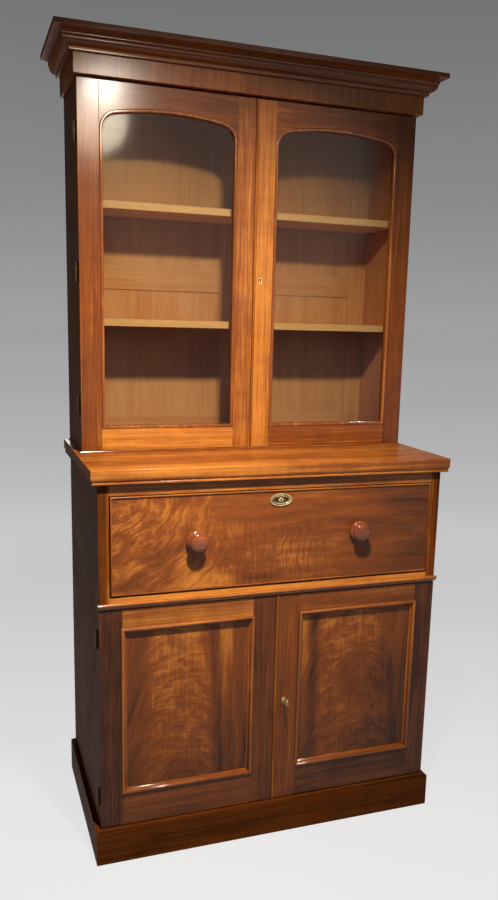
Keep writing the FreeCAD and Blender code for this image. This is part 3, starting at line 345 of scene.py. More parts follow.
def flame_figure(plume_at, plume_half, gold_at, gold_lean, hollows, depth):
    """One panel's figure: its plume, its golden streak, its hollows, and how deep in the noise it is cut."""
    def figure(finish, grain):
        rise, side = finish.parts(grain)[:2]
        u, v = side / PANEL_HALF_WIDTH, rise / PANEL_HALF_HEIGHT
        waver = finish.noise(grain, WAVER_SCALE, 3.0) - 0.5
        off = u - plume_at + 0.35 * waver
        heart = hump(finish, off / (plume_half - 0.13 * v), *HEART_EDGES)
        dark = 0.0
        arch = v + 0.45 * off * off + 0.25 * waver
        for hollow_u, hollow_v in hollows:
            across, along = (u - hollow_u) / HOLLOW_HALF_WIDTH, (v - hollow_v) / HOLLOW_HALF_HEIGHT
            hollow = hump(finish, across * across + along * along, *HOLLOW_EDGES)
            arch = arch - 0.3 * hollow
            dark = dark + hollow
        ripple = finish.noise(finish.point(arch, off, depth), RIPPLE_SCALE, 4.0, 0.6)
        feather = finish.noise(finish.point(arch, off, depth), FEATHER_SCALE, 3.0, 0.6)
        thread = finish.noise(finish.point(v, u, depth), THREAD_SCALE, 3.0, 0.6)
        plume = 0.6 * ripple + 0.6 * feather + 0.4 * thread - 0.27
        lean = u - 0.45 * v * (1 - finish.step(u, *LEAN_EDGES))
        sides = finish.noise(finish.point(v, lean, depth), STREAK_SCALE, 4.0, 0.65) - 0.19
        gold_off = u - gold_at + gold_lean * v + 0.1 * waver
        gold = hump(finish, gold_off, *GOLD_EDGES) * finish.step(v, *GOLD_RISE)
        shade = hump(finish, gold_off + 0.2 * gold_at, *SHADE_EDGES)
        # The rise term is painted light, paler upwards and darker towards the floor.
        light = GOLD_LIGHT * gold - GOLD_SHADE * shade - HOLLOW_SHADE * dark + PAINTED_LIGHT_UPWARDS * v
        return heart * plume + (1 - heart) * sides + light
    return figure


left_figure = flame_figure(plume_at=-0.13, plume_half=0.54, gold_at=0.55, gold_lean=0.05, hollows=[(0.0, -1.05)],
                           depth=0.0)
right_figure = flame_figure(plume_at=-0.08, plume_half=0.66, gold_at=-0.88, gold_lean=0.0,
                            hollows=[(0.24, 0.05), (0.3, -0.85)], depth=7.0)
left_flame = polished_wood("flame_mahogany_left", left_figure, MAHOGANY)
right_flame = polished_wood("flame_mahogany_right", right_figure, MAHOGANY)
print("made", left_flame.name, "and", right_flame.name)

# %% [markdown]
# The drawer front is one wide sheet of veneer. In its left third the grain sweeps in arcs round the upper left corner,
# flat along the bottom and upright further in. The middle is crossed by fine upright ripples, long level streaks run
# along the top, a pale patch lies low on the left, and the right end is darker and plainer.

# %% Figured mahogany of the drawer front
DRAWER_HALF_WIDTH = 0.466
DRAWER_HALF_HEIGHT = 0.132
CORNER_OUT = 0.02
FAN_EDGES = (-0.3, -0.08)
DARK_END_EDGES = (0.15, 0.46)
DRAWER_WAVER_SCALE = (6.0, 9.0, 0.0)
SWEEP_SCALE = (30.0, 2.0, 1.0)
CURL_SCALE = (95.0, 4.5, 1.0)
UPRIGHT_SCALE = (125.0, 16.0, 1.0)
LEVEL_SCALE = (5.0, 42.0, 1.0)
LEVEL_DEPTH = 3.0
DRAWER_DRIFT_SCALE = (4.0, 10.0, 0.0)
RIPPLES_AT = -0.06
RIPPLES_EDGES = (0.12, 0.28)
RIPPLES_TOP = (0.0, 0.09)
PATCH_AT = (-0.20, -0.115)
PATCH_SIZE = (0.09, 0.03)
PATCH_EDGES = (0.2, 1.5)


def drawer_figure(finish, grain):
    """Arcs round the upper left corner, ripples in the middle, level streaks above and a dark right end."""
    along, rise = finish.parts(grain)[:2]
    waver = finish.noise(grain, DRAWER_WAVER_SCALE, 3.0) - 0.5
    inward, down = along + (DRAWER_HALF_WIDTH + CORNER_OUT), (DRAWER_HALF_HEIGHT + CORNER_OUT) - rise
    radius = finish.maths("SQRT", inward * inward + down * down) + 0.07 * waver
    turn = finish.maths("ARCTAN2", down, inward)
    fan = 1 - finish.step(along + 0.2 * waver, *FAN_EDGES)
    sweep = finish.noise(finish.point(radius, turn), SWEEP_SCALE, 4.0, 0.6)
    curl = finish.noise(finish.point(radius, turn), CURL_SCALE, 4.0, 0.6)
    upright = finish.noise(finish.point(along + 0.05 * waver, rise), UPRIGHT_SCALE, 3.0, 0.6)
    level = finish.noise(finish.point(along + 0.2 * waver, rise, LEVEL_DEPTH), LEVEL_SCALE, 4.0, 0.65)
    drift = finish.noise(grain, DRAWER_DRIFT_SCALE, 3.0, 0.55)
    low = hump(finish, along - RIPPLES_AT, *RIPPLES_EDGES) * (1 - finish.step(rise, *RIPPLES_TOP))
    left_part = sweep + 0.7 * curl - 0.80
    right_part = low * (0.6 * upright - 0.30) + 0.7 * level - 0.35
    patch_across, patch_up = (along - PATCH_AT[0]) / PATCH_SIZE[0], (rise - PATCH_AT[1]) / PATCH_SIZE[1]
    patch = hump(finish, patch_across * patch_across + patch_up * patch_up, *PATCH_EDGES)
    end = finish.step(along, *DARK_END_EDGES)
    return 0.18 + fan * left_part + (1 - fan) * right_part + 0.6 * drift + 0.18 * patch - 0.22 * end


drawer_veneer = polished_wood("figured_mahogany_drawer", drawer_figure, MAHOGANY)
print("made", drawer_veneer.name)

# %% [markdown]
# Inside, where polish was never spent, the boards are a plainer and drier wood: backs, bottoms, runners, the shelves
# and the drawer's box. The same grain is used, with a duller surface and paler colours.

# %% Dry wood of the inside
DRY_WOOD = (tint(120, 68, 38), tint(186, 114, 68), tint(222, 166, 116))

dry_wood = polished_wood("dry_inside_wood", quiet_figure, DRY_WOOD, gloss=0.55, coat=0.05, pore_depth=0.0)
print("made", dry_wood.name)

# %% [markdown]
# Brass on old furniture is dull yellow with brown clouds where hands don't rub it. It is metal, so its colour is the
# colour of its reflections, and roughness does most of the work. Hinges have gone nearly black, and the pivots are
# given the same dark finish as painted shade.

# %% Old brass
BRASS_BRIGHT = tint(232, 208, 152)
BRASS_DULL = tint(140, 106, 58)
HINGE_BROWN = tint(84, 58, 32)
HINGE_BLACK = tint(34, 27, 19)
TARNISH_SCALE = (60.0, 60.0, 60.0)
TARNISH_EDGES = (0.35, 0.68)
TARNISH_ROUGHNESS = 0.28
SCRATCH_SCALE = (240.0, 1900.0, 1900.0)
SCRATCH_BUMP = {"strength": 0.08, "distance": 0.0002}


def metal(name, bright, dull, gloss, metallic):
    """Metal that is bright where it is rubbed and dull in clouds, with fine scratches."""
    finish = Finish(bpy.data.materials.new(name))
    place = finish.place()
    tarnish = finish.noise(place, TARNISH_SCALE, 4.0, 0.6)
    scratch = finish.noise(place, SCRATCH_SCALE)
    shader = finish.node("ShaderNodeBsdfPrincipled", {}, {
        "Base Color": finish.mix(finish.step(tarnish, *TARNISH_EDGES), bright, dull),
        "Metallic": metallic,
        "Roughness": gloss + TARNISH_ROUGHNESS * tarnish,
        "Normal": finish.bump(scratch, **SCRATCH_BUMP),
    })
    return finish.end(shader)


brass = metal("old_brass", BRASS_BRIGHT, BRASS_DULL, gloss=0.16, metallic=0.7)
hinge_brass = metal("hinge_brass", HINGE_BROWN, HINGE_BLACK, gloss=0.40, metallic=0.5)
print("made", brass.name, "and", hinge_brass.name)

# %% [markdown]
# Old window glass is clear, a little green, and mirrors its surroundings at a slant. A see-through shader mixed with a
# mirror by Fresnel keeps the light on the shelves, which a refracting glass would block.

# %% Glass
GLASS_GREEN = tint(238, 242, 236)
GLASS_IOR = 1.38
MIRROR_SHARE = 0.5
WAVE_SCALE = (5.0, 5.0, 3.0)
WAVE_BUMP = {"strength": 0.1, "distance": 0.002}
SMEAR_SCALE = (9.0, 9.0, 3.0)
CLEAN_ROUGHNESS, SMEAR_ROUGHNESS = 0.04, 0.12


def old_glass():
    """Clear glass with slow waves and a few smears in its mirror."""
    finish = Finish(bpy.data.materials.new("old_glass"))
    place = finish.place()
    wave = finish.bump(finish.noise(place, WAVE_SCALE, 1.0), **WAVE_BUMP)
    smear = finish.noise(place, SMEAR_SCALE, 3.0, 0.6)
    roughness = CLEAN_ROUGHNESS + SMEAR_ROUGHNESS * smear
    mirror = finish.node("ShaderNodeBsdfAnisotropic", {}, {"Roughness": roughness, "Normal": wave})
    clear = finish.node("ShaderNodeBsdfTransparent", {}, {"Color": GLASS_GREEN})
    slant = finish.node("ShaderNodeFresnel", {}, {"IOR": GLASS_IOR})
    shader = finish.node("ShaderNodeMixShader", {}, {0: MIRROR_SHARE * slant, 1: clear, 2: mirror})
    return finish.end(shader)


glass = old_glass()
print("made", glass.name)

# %% [markdown]
# The writing surface inside the fall front is dark green hide with two gilt lines tooled round its edge. The lines
# follow the leather's box, which the frame gives.

# %% Tooled leather
HIDE_DARK = tint(34, 48, 34)
HIDE_LIGHT = tint(62, 78, 52)
GILT = tint(196, 152, 70)
GILT_LINES = ((0.012, 0.0014), (0.017, 0.0005))
GILT_FADE = 1.6
PEBBLE_SCALE = 900.0
HIDE_SCALE = (14.0, 14.0, 14.0)
HIDE_EDGES = (0.3, 0.75)
HIDE_BUMP = {"strength": 0.2, "distance": 0.0004}


def tooled_leather():
    """Green hide with pebbled grain, and gilt lines at their distances from its edge."""
    finish = Finish(bpy.data.materials.new("tooled_leather"))
    low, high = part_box("writing_leather")
    place = finish.place()
    x, z = finish.parts(place)[::2]
    edge_x = (high.x - low.x) / 2 - abs(x)
    edge_z = (high.z - low.z) / 2 - abs(z - (low.z + high.z) / 2)
    edge = finish.maths("MINIMUM", edge_x, edge_z)
    gilt = 0.0
    for inset, half_width in GILT_LINES:
        gilt = gilt + hump(finish, edge - inset, half_width, half_width * GILT_FADE)
    pebble = finish.node("ShaderNodeTexVoronoi", {}, {"Vector": place, "Scale": PEBBLE_SCALE}, "Distance")
    cloud = finish.noise(place, HIDE_SCALE, 4.0, 0.6)
    hide = finish.mix(finish.step(cloud, *HIDE_EDGES), HIDE_DARK, HIDE_LIGHT)
    shader = finish.node("ShaderNodeBsdfPrincipled", {}, {
        "Base Color": finish.mix(gilt, hide, GILT),
        "Metallic": 0.8 * gilt,
        "Roughness": 0.42 + 0.25 * cloud - 0.2 * gilt,
        "Normal": finish.bump(pebble - 2.0 * gilt, **HIDE_BUMP),
    })
    return finish.end(shader)


leather = tooled_leather()
print("made", leather.name)

# %% [markdown]
# A CAD solid has knife-sharp edges, and no wooden board has. Each wooden node is copied and cut into its boards, each
# board gets its long edges eased by a bevel of under a millimetre, and only then are the boards joined again. The
# node's triangles come board by board, so a run of triangles that closes up, with every edge used from both sides, is
# one board.

# %% Copy a node and cut it into boards
MERGE = 0.00001
CORNER_PLACES = 6


def select_only(*pieces):
    """Select these objects and no others, and make the first one active."""
    bpy.ops.object.select_all(action="DESELECT")
    for piece in pieces:
        piece.select_set(True)
    bpy.context.view_layer.objects.active = pieces[0]


def closed_runs(mesh):
    """The first and last triangle of each closed solid in a mesh of loose triangles."""
    corner = [tuple(round(c, CORNER_PLACES) for c in vertex.co) for vertex in mesh.vertices]
    runs, open_edges, first = [], set(), 0
    for face in mesh.polygons:
        points = [corner[i] for i in face.vertices]
        for a, b in zip(points, points[1:] + points[:1]):
            if a == b:
                continue
            if (b, a) in open_edges:
                open_edges.remove((b, a))
            else:
                open_edges.add((a, b))
        if not open_edges:
            runs.append((first, face.index + 1))
            first = face.index + 1
    if first < len(mesh.polygons):
        runs.append((first, len(mesh.polygons)))
    return runs


def copy_of(name):
    """A free copy of a CAD node, which itself stays as it is."""
    select_only(frame["nodes"][name])
    bpy.ops.object.duplicate()
    copy = bpy.context.active_object
    bpy.ops.object.parent_clear(type="CLEAR")
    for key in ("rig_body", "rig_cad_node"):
        del copy[key]
    return copy


def boards_of(name):
    """A node's copy, cut into one object for each solid in it."""
    whole = copy_of(name)
    boards = []
    runs = closed_runs(whole.data)
    for first, last in reversed(runs[1:]):
        select_only(whole)
        chosen = [first <= i < last for i in range(len(whole.data.polygons))]
        bpy.ops.object.mode_set(mode="EDIT")
        bpy.ops.mesh.select_mode(type="FACE")
        bpy.ops.mesh.select_all(action="DESELECT")
        bpy.ops.object.mode_set(mode="OBJECT")
        whole.data.polygons.foreach_set("select", chosen)
        bpy.ops.object.mode_set(mode="EDIT")
        bpy.ops.mesh.separate(type="SELECTED")
        bpy.ops.object.mode_set(mode="OBJECT")
        boards.append(next(o for o in bpy.context.selected_objects if o is not whole))
    return [whole, *reversed(boards)]


print("base top is", len(closed_runs(frame["nodes"]["base_top"].data)), "board")

# %% [markdown]
# Easing an edge: the triangles are merged, flat ones are dissolved into whole faces, and the long outward edges are
# picked by their length and angle and bevelled in three steps.

# %% Ease a board's edges
LONG_EDGE = 0.010
EASE_WIDTH = 0.0008
EASE_STEPS = 3
SHARP = math.radians(32)
FLAT = math.radians(0.4)


def ease(board):
    """Round off a board's long outward edges."""
    select_only(board)
    bpy.ops.object.mode_set(mode="EDIT")
    bpy.ops.mesh.select_mode(type="EDGE")
    bpy.ops.mesh.select_all(action="SELECT")
    bpy.ops.mesh.remove_doubles(threshold=MERGE)
    bpy.ops.mesh.dissolve_limited(angle_limit=FLAT)
    bpy.ops.mesh.select_all(action="DESELECT")
    work = bmesh.from_edit_mesh(board.data)
    for edge in work.edges:
        sharp = edge.is_manifold and edge.is_convex and edge.calc_face_angle(0.0) > SHARP
        edge.select_set(sharp and edge.calc_length() > LONG_EDGE)
    any_picked = any(edge.select for edge in work.edges)
    bmesh.update_edit_mesh(board.data)
    if any_picked:
        bpy.ops.mesh.bevel(offset=EASE_WIDTH, segments=EASE_STEPS, affect="EDGES", clamp_overlap=True, loop_slide=False)
    bpy.ops.object.mode_set(mode="OBJECT")


print("edges over", LONG_EDGE * 1000, "mm long are eased by", EASE_WIDTH * 1000, "mm")

# %% [markdown]
# Each board then gets its grain and tone. The grain's first number runs along the board's longest side, from its
# middle, and a seeded random offset gives every board a different piece of the tree. Veneered faces keep their middle
# at zero, because their figure is drawn round it. The polish went to the front, so boards of the sides shine less.

# %% Give a board its grain
OFFSET_REACH = 9.0
PANEL_SIDE = 0.2
SIDE_POLISH = 0.05
TONE_SPREAD = 0.04


def paint(board, name, value):
    """Give the whole board one number under a name."""
    layer = board.data.attributes.new(name, "FLOAT", "POINT")
    layer.data.foreach_set("value", [value] * len(board.data.vertices))


def lay_grain(board, seed, tone, centred=False, upright=False):
    """Write a board's grain, tone and polish into its mesh."""
    points = [vertex.co for vertex in board.data.vertices]
    low = Vector([min(p[i] for p in points) for i in range(3)])
    high = Vector([max(p[i] for p in points) for i in range(3)])
    size = high - low
    order = sorted(range(3), key=lambda i: -size[i])
    if upright or (not centred and size.y < size.x and min(size.x, size.z) > PANEL_SIDE):
        order = [2, 0, 1]
    draw = random.Random(seed)
    offset = [0.0, 0.0, 0.0] if centred else [draw.uniform(0.0, OFFSET_REACH) for i in range(3)]
    middle = (low + high) / 2
    grain = board.data.attributes.new("grain", "FLOAT_VECTOR", "POINT")
    for i, p in enumerate(points):
        grain.data[i].vector = [p[order[k]] - middle[order[k]] + offset[k] for k in range(3)]
    # The tone painted here is partly the board's own colour and partly painted light and shade.
    paint(board, "tone", tone + draw.uniform(-TONE_SPREAD, TONE_SPREAD))
    paint(board, "polish", SIDE_POLISH if min(size) == size.x or max(size) == size.y else 1.0)


print("boards differ in tone by up to", TONE_SPREAD, "either way")

# %% [markdown]
# Faces that look left or right were seldom rubbed, and many are end grain, so they get the dull finish of the sides,
# whose darkest colour is darker still: partly end grain and partly painted shade.
# The bookcase's sides are dry inside, as its back and its shelves are. A mesh holds a list of materials, and each of
# its faces has the number of one of them.

# %% Choose the finish of each face
SIDEWAYS = 0.7
FRONT, SIDE, LINING = 0, 1, 2


def finish_faces(piece, material, lined):
    """Give a piece its finishes, in the order of the numbers above, and each face the number of its own."""
    piece.data.materials.clear()
    for wood in (material, side_wood_with_painted_shade, dry_wood) if lined else (material, side_wood_with_painted_shade):
        piece.data.materials.append(wood)
    for face in piece.data.polygons:
        face.material_index = FRONT
        if abs(face.normal.x) > SIDEWAYS:
            looks_in = face.normal.x * face.center.x < 0
            face.material_index = LINING if lined and looks_in else SIDE


print("faces that look sideways get", side_wood_with_painted_shade.name)

# %% [markdown]
# The boards of a node are joined into one piece again, which rides on the node's body and stands for the node.
# Weighted normals keep the broad faces flat and let only the eased edges turn the light.

# %% Join the boards into a piece
SMOOTH_WOOD = math.radians(40)


def dress(node, material, tone=0.0, centred=False, upright=False):
    """Make the piece that stands for a wooden node, and count its boards."""
    boards = boards_of(node)
    tones_and_painted_light = tone if isinstance(tone, tuple) else (tone,) * len(boards)
    for i, board in enumerate(boards):
        ease(board)
        lay_grain(board, f"{node} {i}", tones_and_painted_light[i], centred, upright)
    select_only(*boards)
    if len(boards) > 1:
        bpy.ops.object.join()
    piece = bpy.context.active_object
    piece.name = node + "_wood"
    if material is dry_wood:
        piece.data.materials.clear()
        piece.data.materials.append(dry_wood)
    else:
        finish_faces(piece, material, lined=node.startswith("bookcase_side"))
    bpy.ops.object.shade_smooth_by_angle(angle=SMOOTH_WOOD)
    bpy.ops.object.modifier_add(type="WEIGHTED_NORMAL")
    piece.modifiers[-1].keep_sharp = True
    bpy.ops.object.modifier_apply(modifier=piece.modifiers[-1].name)
    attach(piece, frame["nodes"][node]["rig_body"])
    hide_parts(node)
    return len(boards)


print("pieces are smooth up to", round(math.degrees(SMOOTH_WOOD)), "degrees")

# %% [markdown]
# Every node has its tone, and a door's frame has one for each of its boards, in the order: meeting stile, outer
# stile, two rails, and the bead on the right doors' meeting edges. The tones are partly the boards' own colour and
# partly painted light and shade: rails that lie level are painted paler than stiles that stand, as light from above
# shows them, the rail under the drawer is painted paler where the light falls on it, and the lower frames, the plinth
# and the sides are painted darker where less light reaches them. The frieze's grain stands upright.

# %% The mahogany boards
# Tones for each node and board: partly the wood's own colour, partly painted light and shade.
MAHOGANY_TONES_AND_PAINTED_LIGHT = {
    "cornice": -0.08, "frieze": 0.05,
    "bookcase_side_left": -0.24, "bookcase_side_right": 0.02, "bookcase_top": 0.0, "bookcase_bottom": 0.05,
    "upper_left_frame": (0.0, -0.10, -0.10, 0.24), "upper_right_frame": (0.18, -0.20, -0.02, -0.06, 0.08),
    "upper_left_glazing_bead": 0.0, "upper_right_glazing_bead": 0.0,
    "base_top": 0.10, "base_side_left": -0.24, "base_side_right": -0.24,
    "drawer_rails": (0.06, 0.32, 0.0, 0.0), "waist_moulding": 0.10, "fall_cockbead": 0.05,
    "lower_left_frame": (-0.30, -0.32, -0.18, 0.12), "lower_right_frame": (-0.15, -0.36, -0.31, -0.02, -0.02),
    "lower_left_moulding": 0.0, "lower_right_moulding": 0.0,
    "plinth": -0.24, "shelf_pegs": 0.0,
    "pigeonhole_case": 0.1, "small_drawer_left": 0.1, "small_drawer_middle": 0.1, "small_drawer_right": 0.1,
}
RUBBED = ("glazing_bead", "moulding", "cockbead")
for node, tone in MAHOGANY_TONES_AND_PAINTED_LIGHT.items():
    wood = moulding_wood if any(word in node for word in RUBBED) else mahogany
    # The plinth takes the darker side finish all over, which paints shade on it.
    wood = {"frieze": frieze_veneer, "plinth": side_wood_with_painted_shade}.get(node, wood)
    count = dress(node, wood, tone, upright=node == "frieze")
    print(node, count, "boards of", wood.name)

# %% [markdown]
# The drawer's fall and the two cupboard panels carry the figured veneers. Their grain starts from the middle of the
# face, because each figure is drawn round it.

# %% The veneered faces
VENEERS = {"fall_front": (drawer_veneer, 0.0), "lower_left_panel": (left_flame, 0.0),
           "lower_right_panel": (right_flame, -0.08)}
for node, (veneer, tone) in VENEERS.items():
    dress(node, veneer, tone, centred=True)
    print(node, "in", veneer.name)

# %% [markdown]
# Backs, bottoms, runners, the drawer's box and the shelves are dry boards. The bookcase's back is paler than the rest,
# and the shelves' front edges are the palest wood that shows behind the glass.

# %% The dry boards
BACK_TONE = 0.12
SHELF_TONE = 0.28
for node in ("base_back", "base_bottom", "drawer_runners", "cupboard_shelf", "bookcase_back", "cornice_dust_board",
             "drawer_box", "drawer_floor"):
    count = dress(node, dry_wood, BACK_TONE if node == "bookcase_back" else 0.0)
    print(node, count, "boards")
print("bookcase_shelves", dress("bookcase_shelves", dry_wood, SHELF_TONE), "boards")

# %% [markdown]
# Brass, glass and leather are right as the CAD model has them, so their nodes stay and only take the new finishes in
# place of the plain ones. Hinges and small fittings are darker than the brass that is handled, and the fall's pivots
# take the dark finish as painted shade, where they show through the gap at the fall's corner.

# %% Brass, glass and leather keep their CAD shapes
BLACKENED_AND_SHADED = ("hinge", "brasses", "pivots")
for name, node in frame["nodes"].items():
    given = {"brass": brass, "glass": glass, "leather": leather}.get(node.data.materials[0].name)
    # Pivots take the dark finish as painted shade, where they show through a gap.
    if given is brass and any(word in name for word in BLACKENED_AND_SHADED):
        given = hinge_brass
    if given:
        node.data.materials[0] = given
        print(name, "in", given.name)

# %% [markdown]
# Two things are left that the CAD model has only in their main shapes: the turned knobs and the oval escutcheon. Both
# start as a flat disk that looks to the front, and grow from it step by step along y.

# %% Start from a disk
FACING_FRONT = (math.pi / 2, 0.0, 0.0)


def start_disk(place, radius, sides):
    """A disk in edit mode, with its one face selected."""
    bpy.ops.object.select_all(action="DESELECT")
    bpy.ops.mesh.primitive_circle_add(vertices=sides, radius=radius, fill_type="NGON", location=place,
                                      rotation=FACING_FRONT)
    bpy.ops.object.transform_apply(location=True, rotation=True, scale=True)
    bpy.ops.object.mode_set(mode="EDIT")
    bpy.ops.mesh.select_mode(type="FACE")
    bpy.ops.mesh.select_all(action="SELECT")
    return bpy.context.active_object


def draw_out(distance):
    """Extrude what is selected along y, where less is nearer to the front."""
    bpy.ops.mesh.extrude_region_move(TRANSFORM_OT_translate={"value": (0.0, distance, 0.0)})


face_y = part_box("fall_front")[0].y
print("the fall's face is at y =", round(face_y, 4))

# %% [markdown]
# The fall's two knobs are turned from mahogany: a dowel that is glued into the fall, a short neck, a half-round rim, a
# wide hollow and a face like a button, nearly flat with a round edge. A disk is drawn out from the dowel's end step by
# step and brought to the profile's radius at each step, as the turner's tool leaves it.

# %% Turn a knob
KNOB_SIDES = 64
KNOB_RADIUS = 0.029
DOWEL = (0.006, -0.0158)
KNOB_PROFILE = (
    (0.0060, 0.0), (0.0145, 0.0), (0.0145, 0.0015), (0.0170, 0.0035), (0.0230, 0.0055), (0.0270, 0.0072),
    (0.0289, 0.0095), (0.0284, 0.0120), (0.0266, 0.0140), (0.0234, 0.0154), (0.0216, 0.0170), (0.0212, 0.0195),
    (0.0222, 0.0220), (0.0242, 0.0244), (0.0256, 0.0266), (0.0262, 0.0290), (0.0259, 0.0310), (0.0246, 0.0332),
    (0.0224, 0.0353), (0.0195, 0.0370), (0.0158, 0.0383), (0.0112, 0.0393), (0.0060, 0.0398), (0.0020, 0.0399),
)

knobs_low, knobs_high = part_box("fall_knobs")
knob_foot = Vector((knobs_low.x + KNOB_RADIUS, face_y, (knobs_low.z + knobs_high.z) / 2))
radius, out = DOWEL
left_knob = start_disk(knob_foot - Vector((0.0, out, 0.0)), radius, KNOB_SIDES)
for next_radius, next_out in KNOB_PROFILE:
    draw_out(out - next_out)
    bpy.ops.transform.resize(value=(next_radius / radius, 1.0, next_radius / radius), center_override=knob_foot)
    radius, out = next_radius, next_out
bpy.ops.mesh.select_all(action="SELECT")
bpy.ops.mesh.remove_doubles(threshold=MERGE)
bpy.ops.mesh.normals_make_consistent(inside=False)
bpy.ops.object.mode_set(mode="OBJECT")
print("knob turned in", len(KNOB_PROFILE), "steps")

# %% [markdown]
# The second knob is a copy, as far right of the middle as the first is left of it. Each knob has its own grain, and
# both are polished more than the boards, because hands polish them.

# %% Copy the knob and finish the pair
TURNED_MAHOGANY = (tint(44, 17, 7), tint(116, 56, 27), tint(180, 102, 52))
KNOB_TONE = 0.0

select_only(left_knob)
bpy.ops.object.duplicate()
right_knob = bpy.context.active_object
bpy.ops.transform.translate(value=(-2 * knob_foot.x, 0.0, 0.0))
bpy.ops.object.transform_apply(location=True, rotation=True, scale=True)
for knob in (left_knob, right_knob):
    lay_grain(knob, "fall knob at " + str(round(knob.bound_box[0][0], 3)), KNOB_TONE)
select_only(left_knob, right_knob)
bpy.ops.object.join()
left_knob.name = "fall_knobs_turned"
left_knob.data.materials.append(polished_wood("turned_mahogany", straight_figure, TURNED_MAHOGANY, coat=0.8, blur=0.14))
bpy.ops.object.shade_smooth_by_angle(angle=SMOOTH_WOOD)
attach(left_knob, frame["nodes"]["fall_knobs"]["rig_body"])
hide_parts("fall_knobs")
print("two knobs with", len(left_knob.data.polygons), "faces")

# %% [markdown]
# The oval escutcheon is a pressed brass plate round the keyhole: a broad bright rim, a groove, a second narrow ring, a
# darker sunk field and a small raised boss with the keyhole. An oval disk is drawn out to the plate's thickness and
# inset again and again, each time pushed in or out. The field's middle is brought down to the boss's size and drawn
# out, and all sharp edges are eased.

# %% Press the escutcheon
PLATE_SIDES = 72
PLATE_HALF_HEIGHT = 0.018
PLATE_STEPS = ((0.0036, 0.0), (0.0003, -0.0012), (0.0020, 0.0), (0.0003, 0.0012), (0.0020, 0.0), (0.0003, -0.0014))
PLATE_SHARP = math.radians(35)
PLATE_EASE = 0.0002
PLATE_EASE_STEPS = 2
BOSS_SHARE = (0.32, 1.0, 0.68)
BOSS_RISE = 0.0010

lock_low, lock_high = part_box("fall_lock")
plate_middle = Vector((0.0, face_y, lock_low.z + PLATE_HALF_HEIGHT))
plate = start_disk(plate_middle, PLATE_HALF_HEIGHT, PLATE_SIDES)
bpy.ops.transform.resize(value=(lock_high.x / PLATE_HALF_HEIGHT, 1.0, 1.0), center_override=plate_middle)
draw_out(lock_low.y - face_y)
for inset, push in PLATE_STEPS:
    bpy.ops.mesh.inset(thickness=inset, depth=push)
draw_out(0.0)
bpy.ops.transform.resize(value=BOSS_SHARE, center_override=plate_middle)
draw_out(-BOSS_RISE)
bpy.ops.mesh.select_all(action="SELECT")
bpy.ops.mesh.normals_make_consistent(inside=False)
bpy.ops.mesh.select_mode(type="EDGE")
bpy.ops.mesh.select_all(action="DESELECT")
bpy.ops.mesh.edges_select_sharp(sharpness=PLATE_SHARP)
bpy.ops.mesh.bevel(offset=PLATE_EASE, segments=PLATE_EASE_STEPS, affect="EDGES", clamp_overlap=True)
bpy.ops.object.mode_set(mode="OBJECT")
print("plate pressed with", len(plate.data.polygons), "faces")

# %% [markdown]
# The keyhole is a round hole with a slot below it. A Boolean modifier takes a cylinder and then a bar out of the plate,
# and both cutters are deleted.

# %% Cut the keyhole
KEYHOLE_SIDES = 24
KEYHOLE_RADIUS = 0.0024
KEYHOLE_SLOT = (0.0026, 0.0085)
CUTTER_LENGTH = 0.02

bpy.ops.mesh.primitive_cylinder_add(vertices=KEYHOLE_SIDES, radius=KEYHOLE_RADIUS, depth=CUTTER_LENGTH,
                                    location=plate_middle, rotation=FACING_FRONT)
key_round = bpy.context.active_object
bpy.ops.mesh.primitive_cube_add(size=1.0, location=plate_middle - Vector((0.0, 0.0, KEYHOLE_SLOT[1] / 2)),
                                scale=(KEYHOLE_SLOT[0], CUTTER_LENGTH, KEYHOLE_SLOT[1]))
key_slot = bpy.context.active_object
for cutter in (key_round, key_slot):
    select_only(plate)
    bpy.ops.object.modifier_add(type="BOOLEAN")
    plate.modifiers[-1].object = cutter
    plate.modifiers[-1].operation = "DIFFERENCE"
    bpy.ops.object.modifier_apply(modifier=plate.modifiers[-1].name)
select_only(key_round, key_slot)
bpy.ops.object.delete()
print("keyhole cut, now", len(plate.data.polygons), "faces")

# %% [markdown]
# The lock's case behind the fall is right in the CAD model, so a copy of it is joined to the new plate, and the two
# together stand for the lock. The sunk parts of the plate are tarnished as the hinges are.

# %% Join the plate to the lock's case
RECESS = 0.0008
SMOOTH_BRASS = math.radians(30)

lock_case, old_plate = boards_of("fall_lock")
select_only(old_plate)
bpy.ops.object.delete()
select_only(plate)
plate.data.materials.append(brass)
plate.data.materials.append(hinge_brass)
for face in plate.data.polygons:
    face.material_index = int(lock_low.y + RECESS < face.center.y < face_y - MERGE)
lock_case.data.materials.clear()
lock_case.data.materials.append(hinge_brass)
select_only(plate, lock_case)
bpy.ops.object.join()
plate.name = "fall_lock_and_escutcheon"
bpy.ops.object.shade_smooth_by_angle(angle=SMOOTH_BRASS)
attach(plate, frame["nodes"]["fall_lock"]["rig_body"])
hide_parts("fall_lock")
print("escutcheon and lock case with", len(plate.data.polygons), "faces")

# %% [markdown]
# The cabinet stands on a pale floor before a grey background that is darker above. The floor shows its own colour to
# the camera and to mirrors, with part of it left to the lamps so that it keeps the cabinet's shadow. Its colour changes
# with the distance along the camera's view, and far away it meets the background.

# %% Floor
FLOOR_SIDES = 96
FLOOR_RADIUS = 60.0
FLOOR_STOPS = [(-2.0, 247), (-0.45, 243), (0.65, 229), (1.9, 213), (4.4, 189), (7.2, 178), (13.0, 169), (38.0, 161)]
FLOOR_CLOUD_SCALE = (1.5, 1.5, 1.5)
FLOOR_CLOUD = 0.1
OWN_LIGHT = 0.85
SHADOW_FADE_SQUARED = (2.0, 16.0)


def grey(value):
    return tint(value, value, value)


MATT_GREY = grey(160)


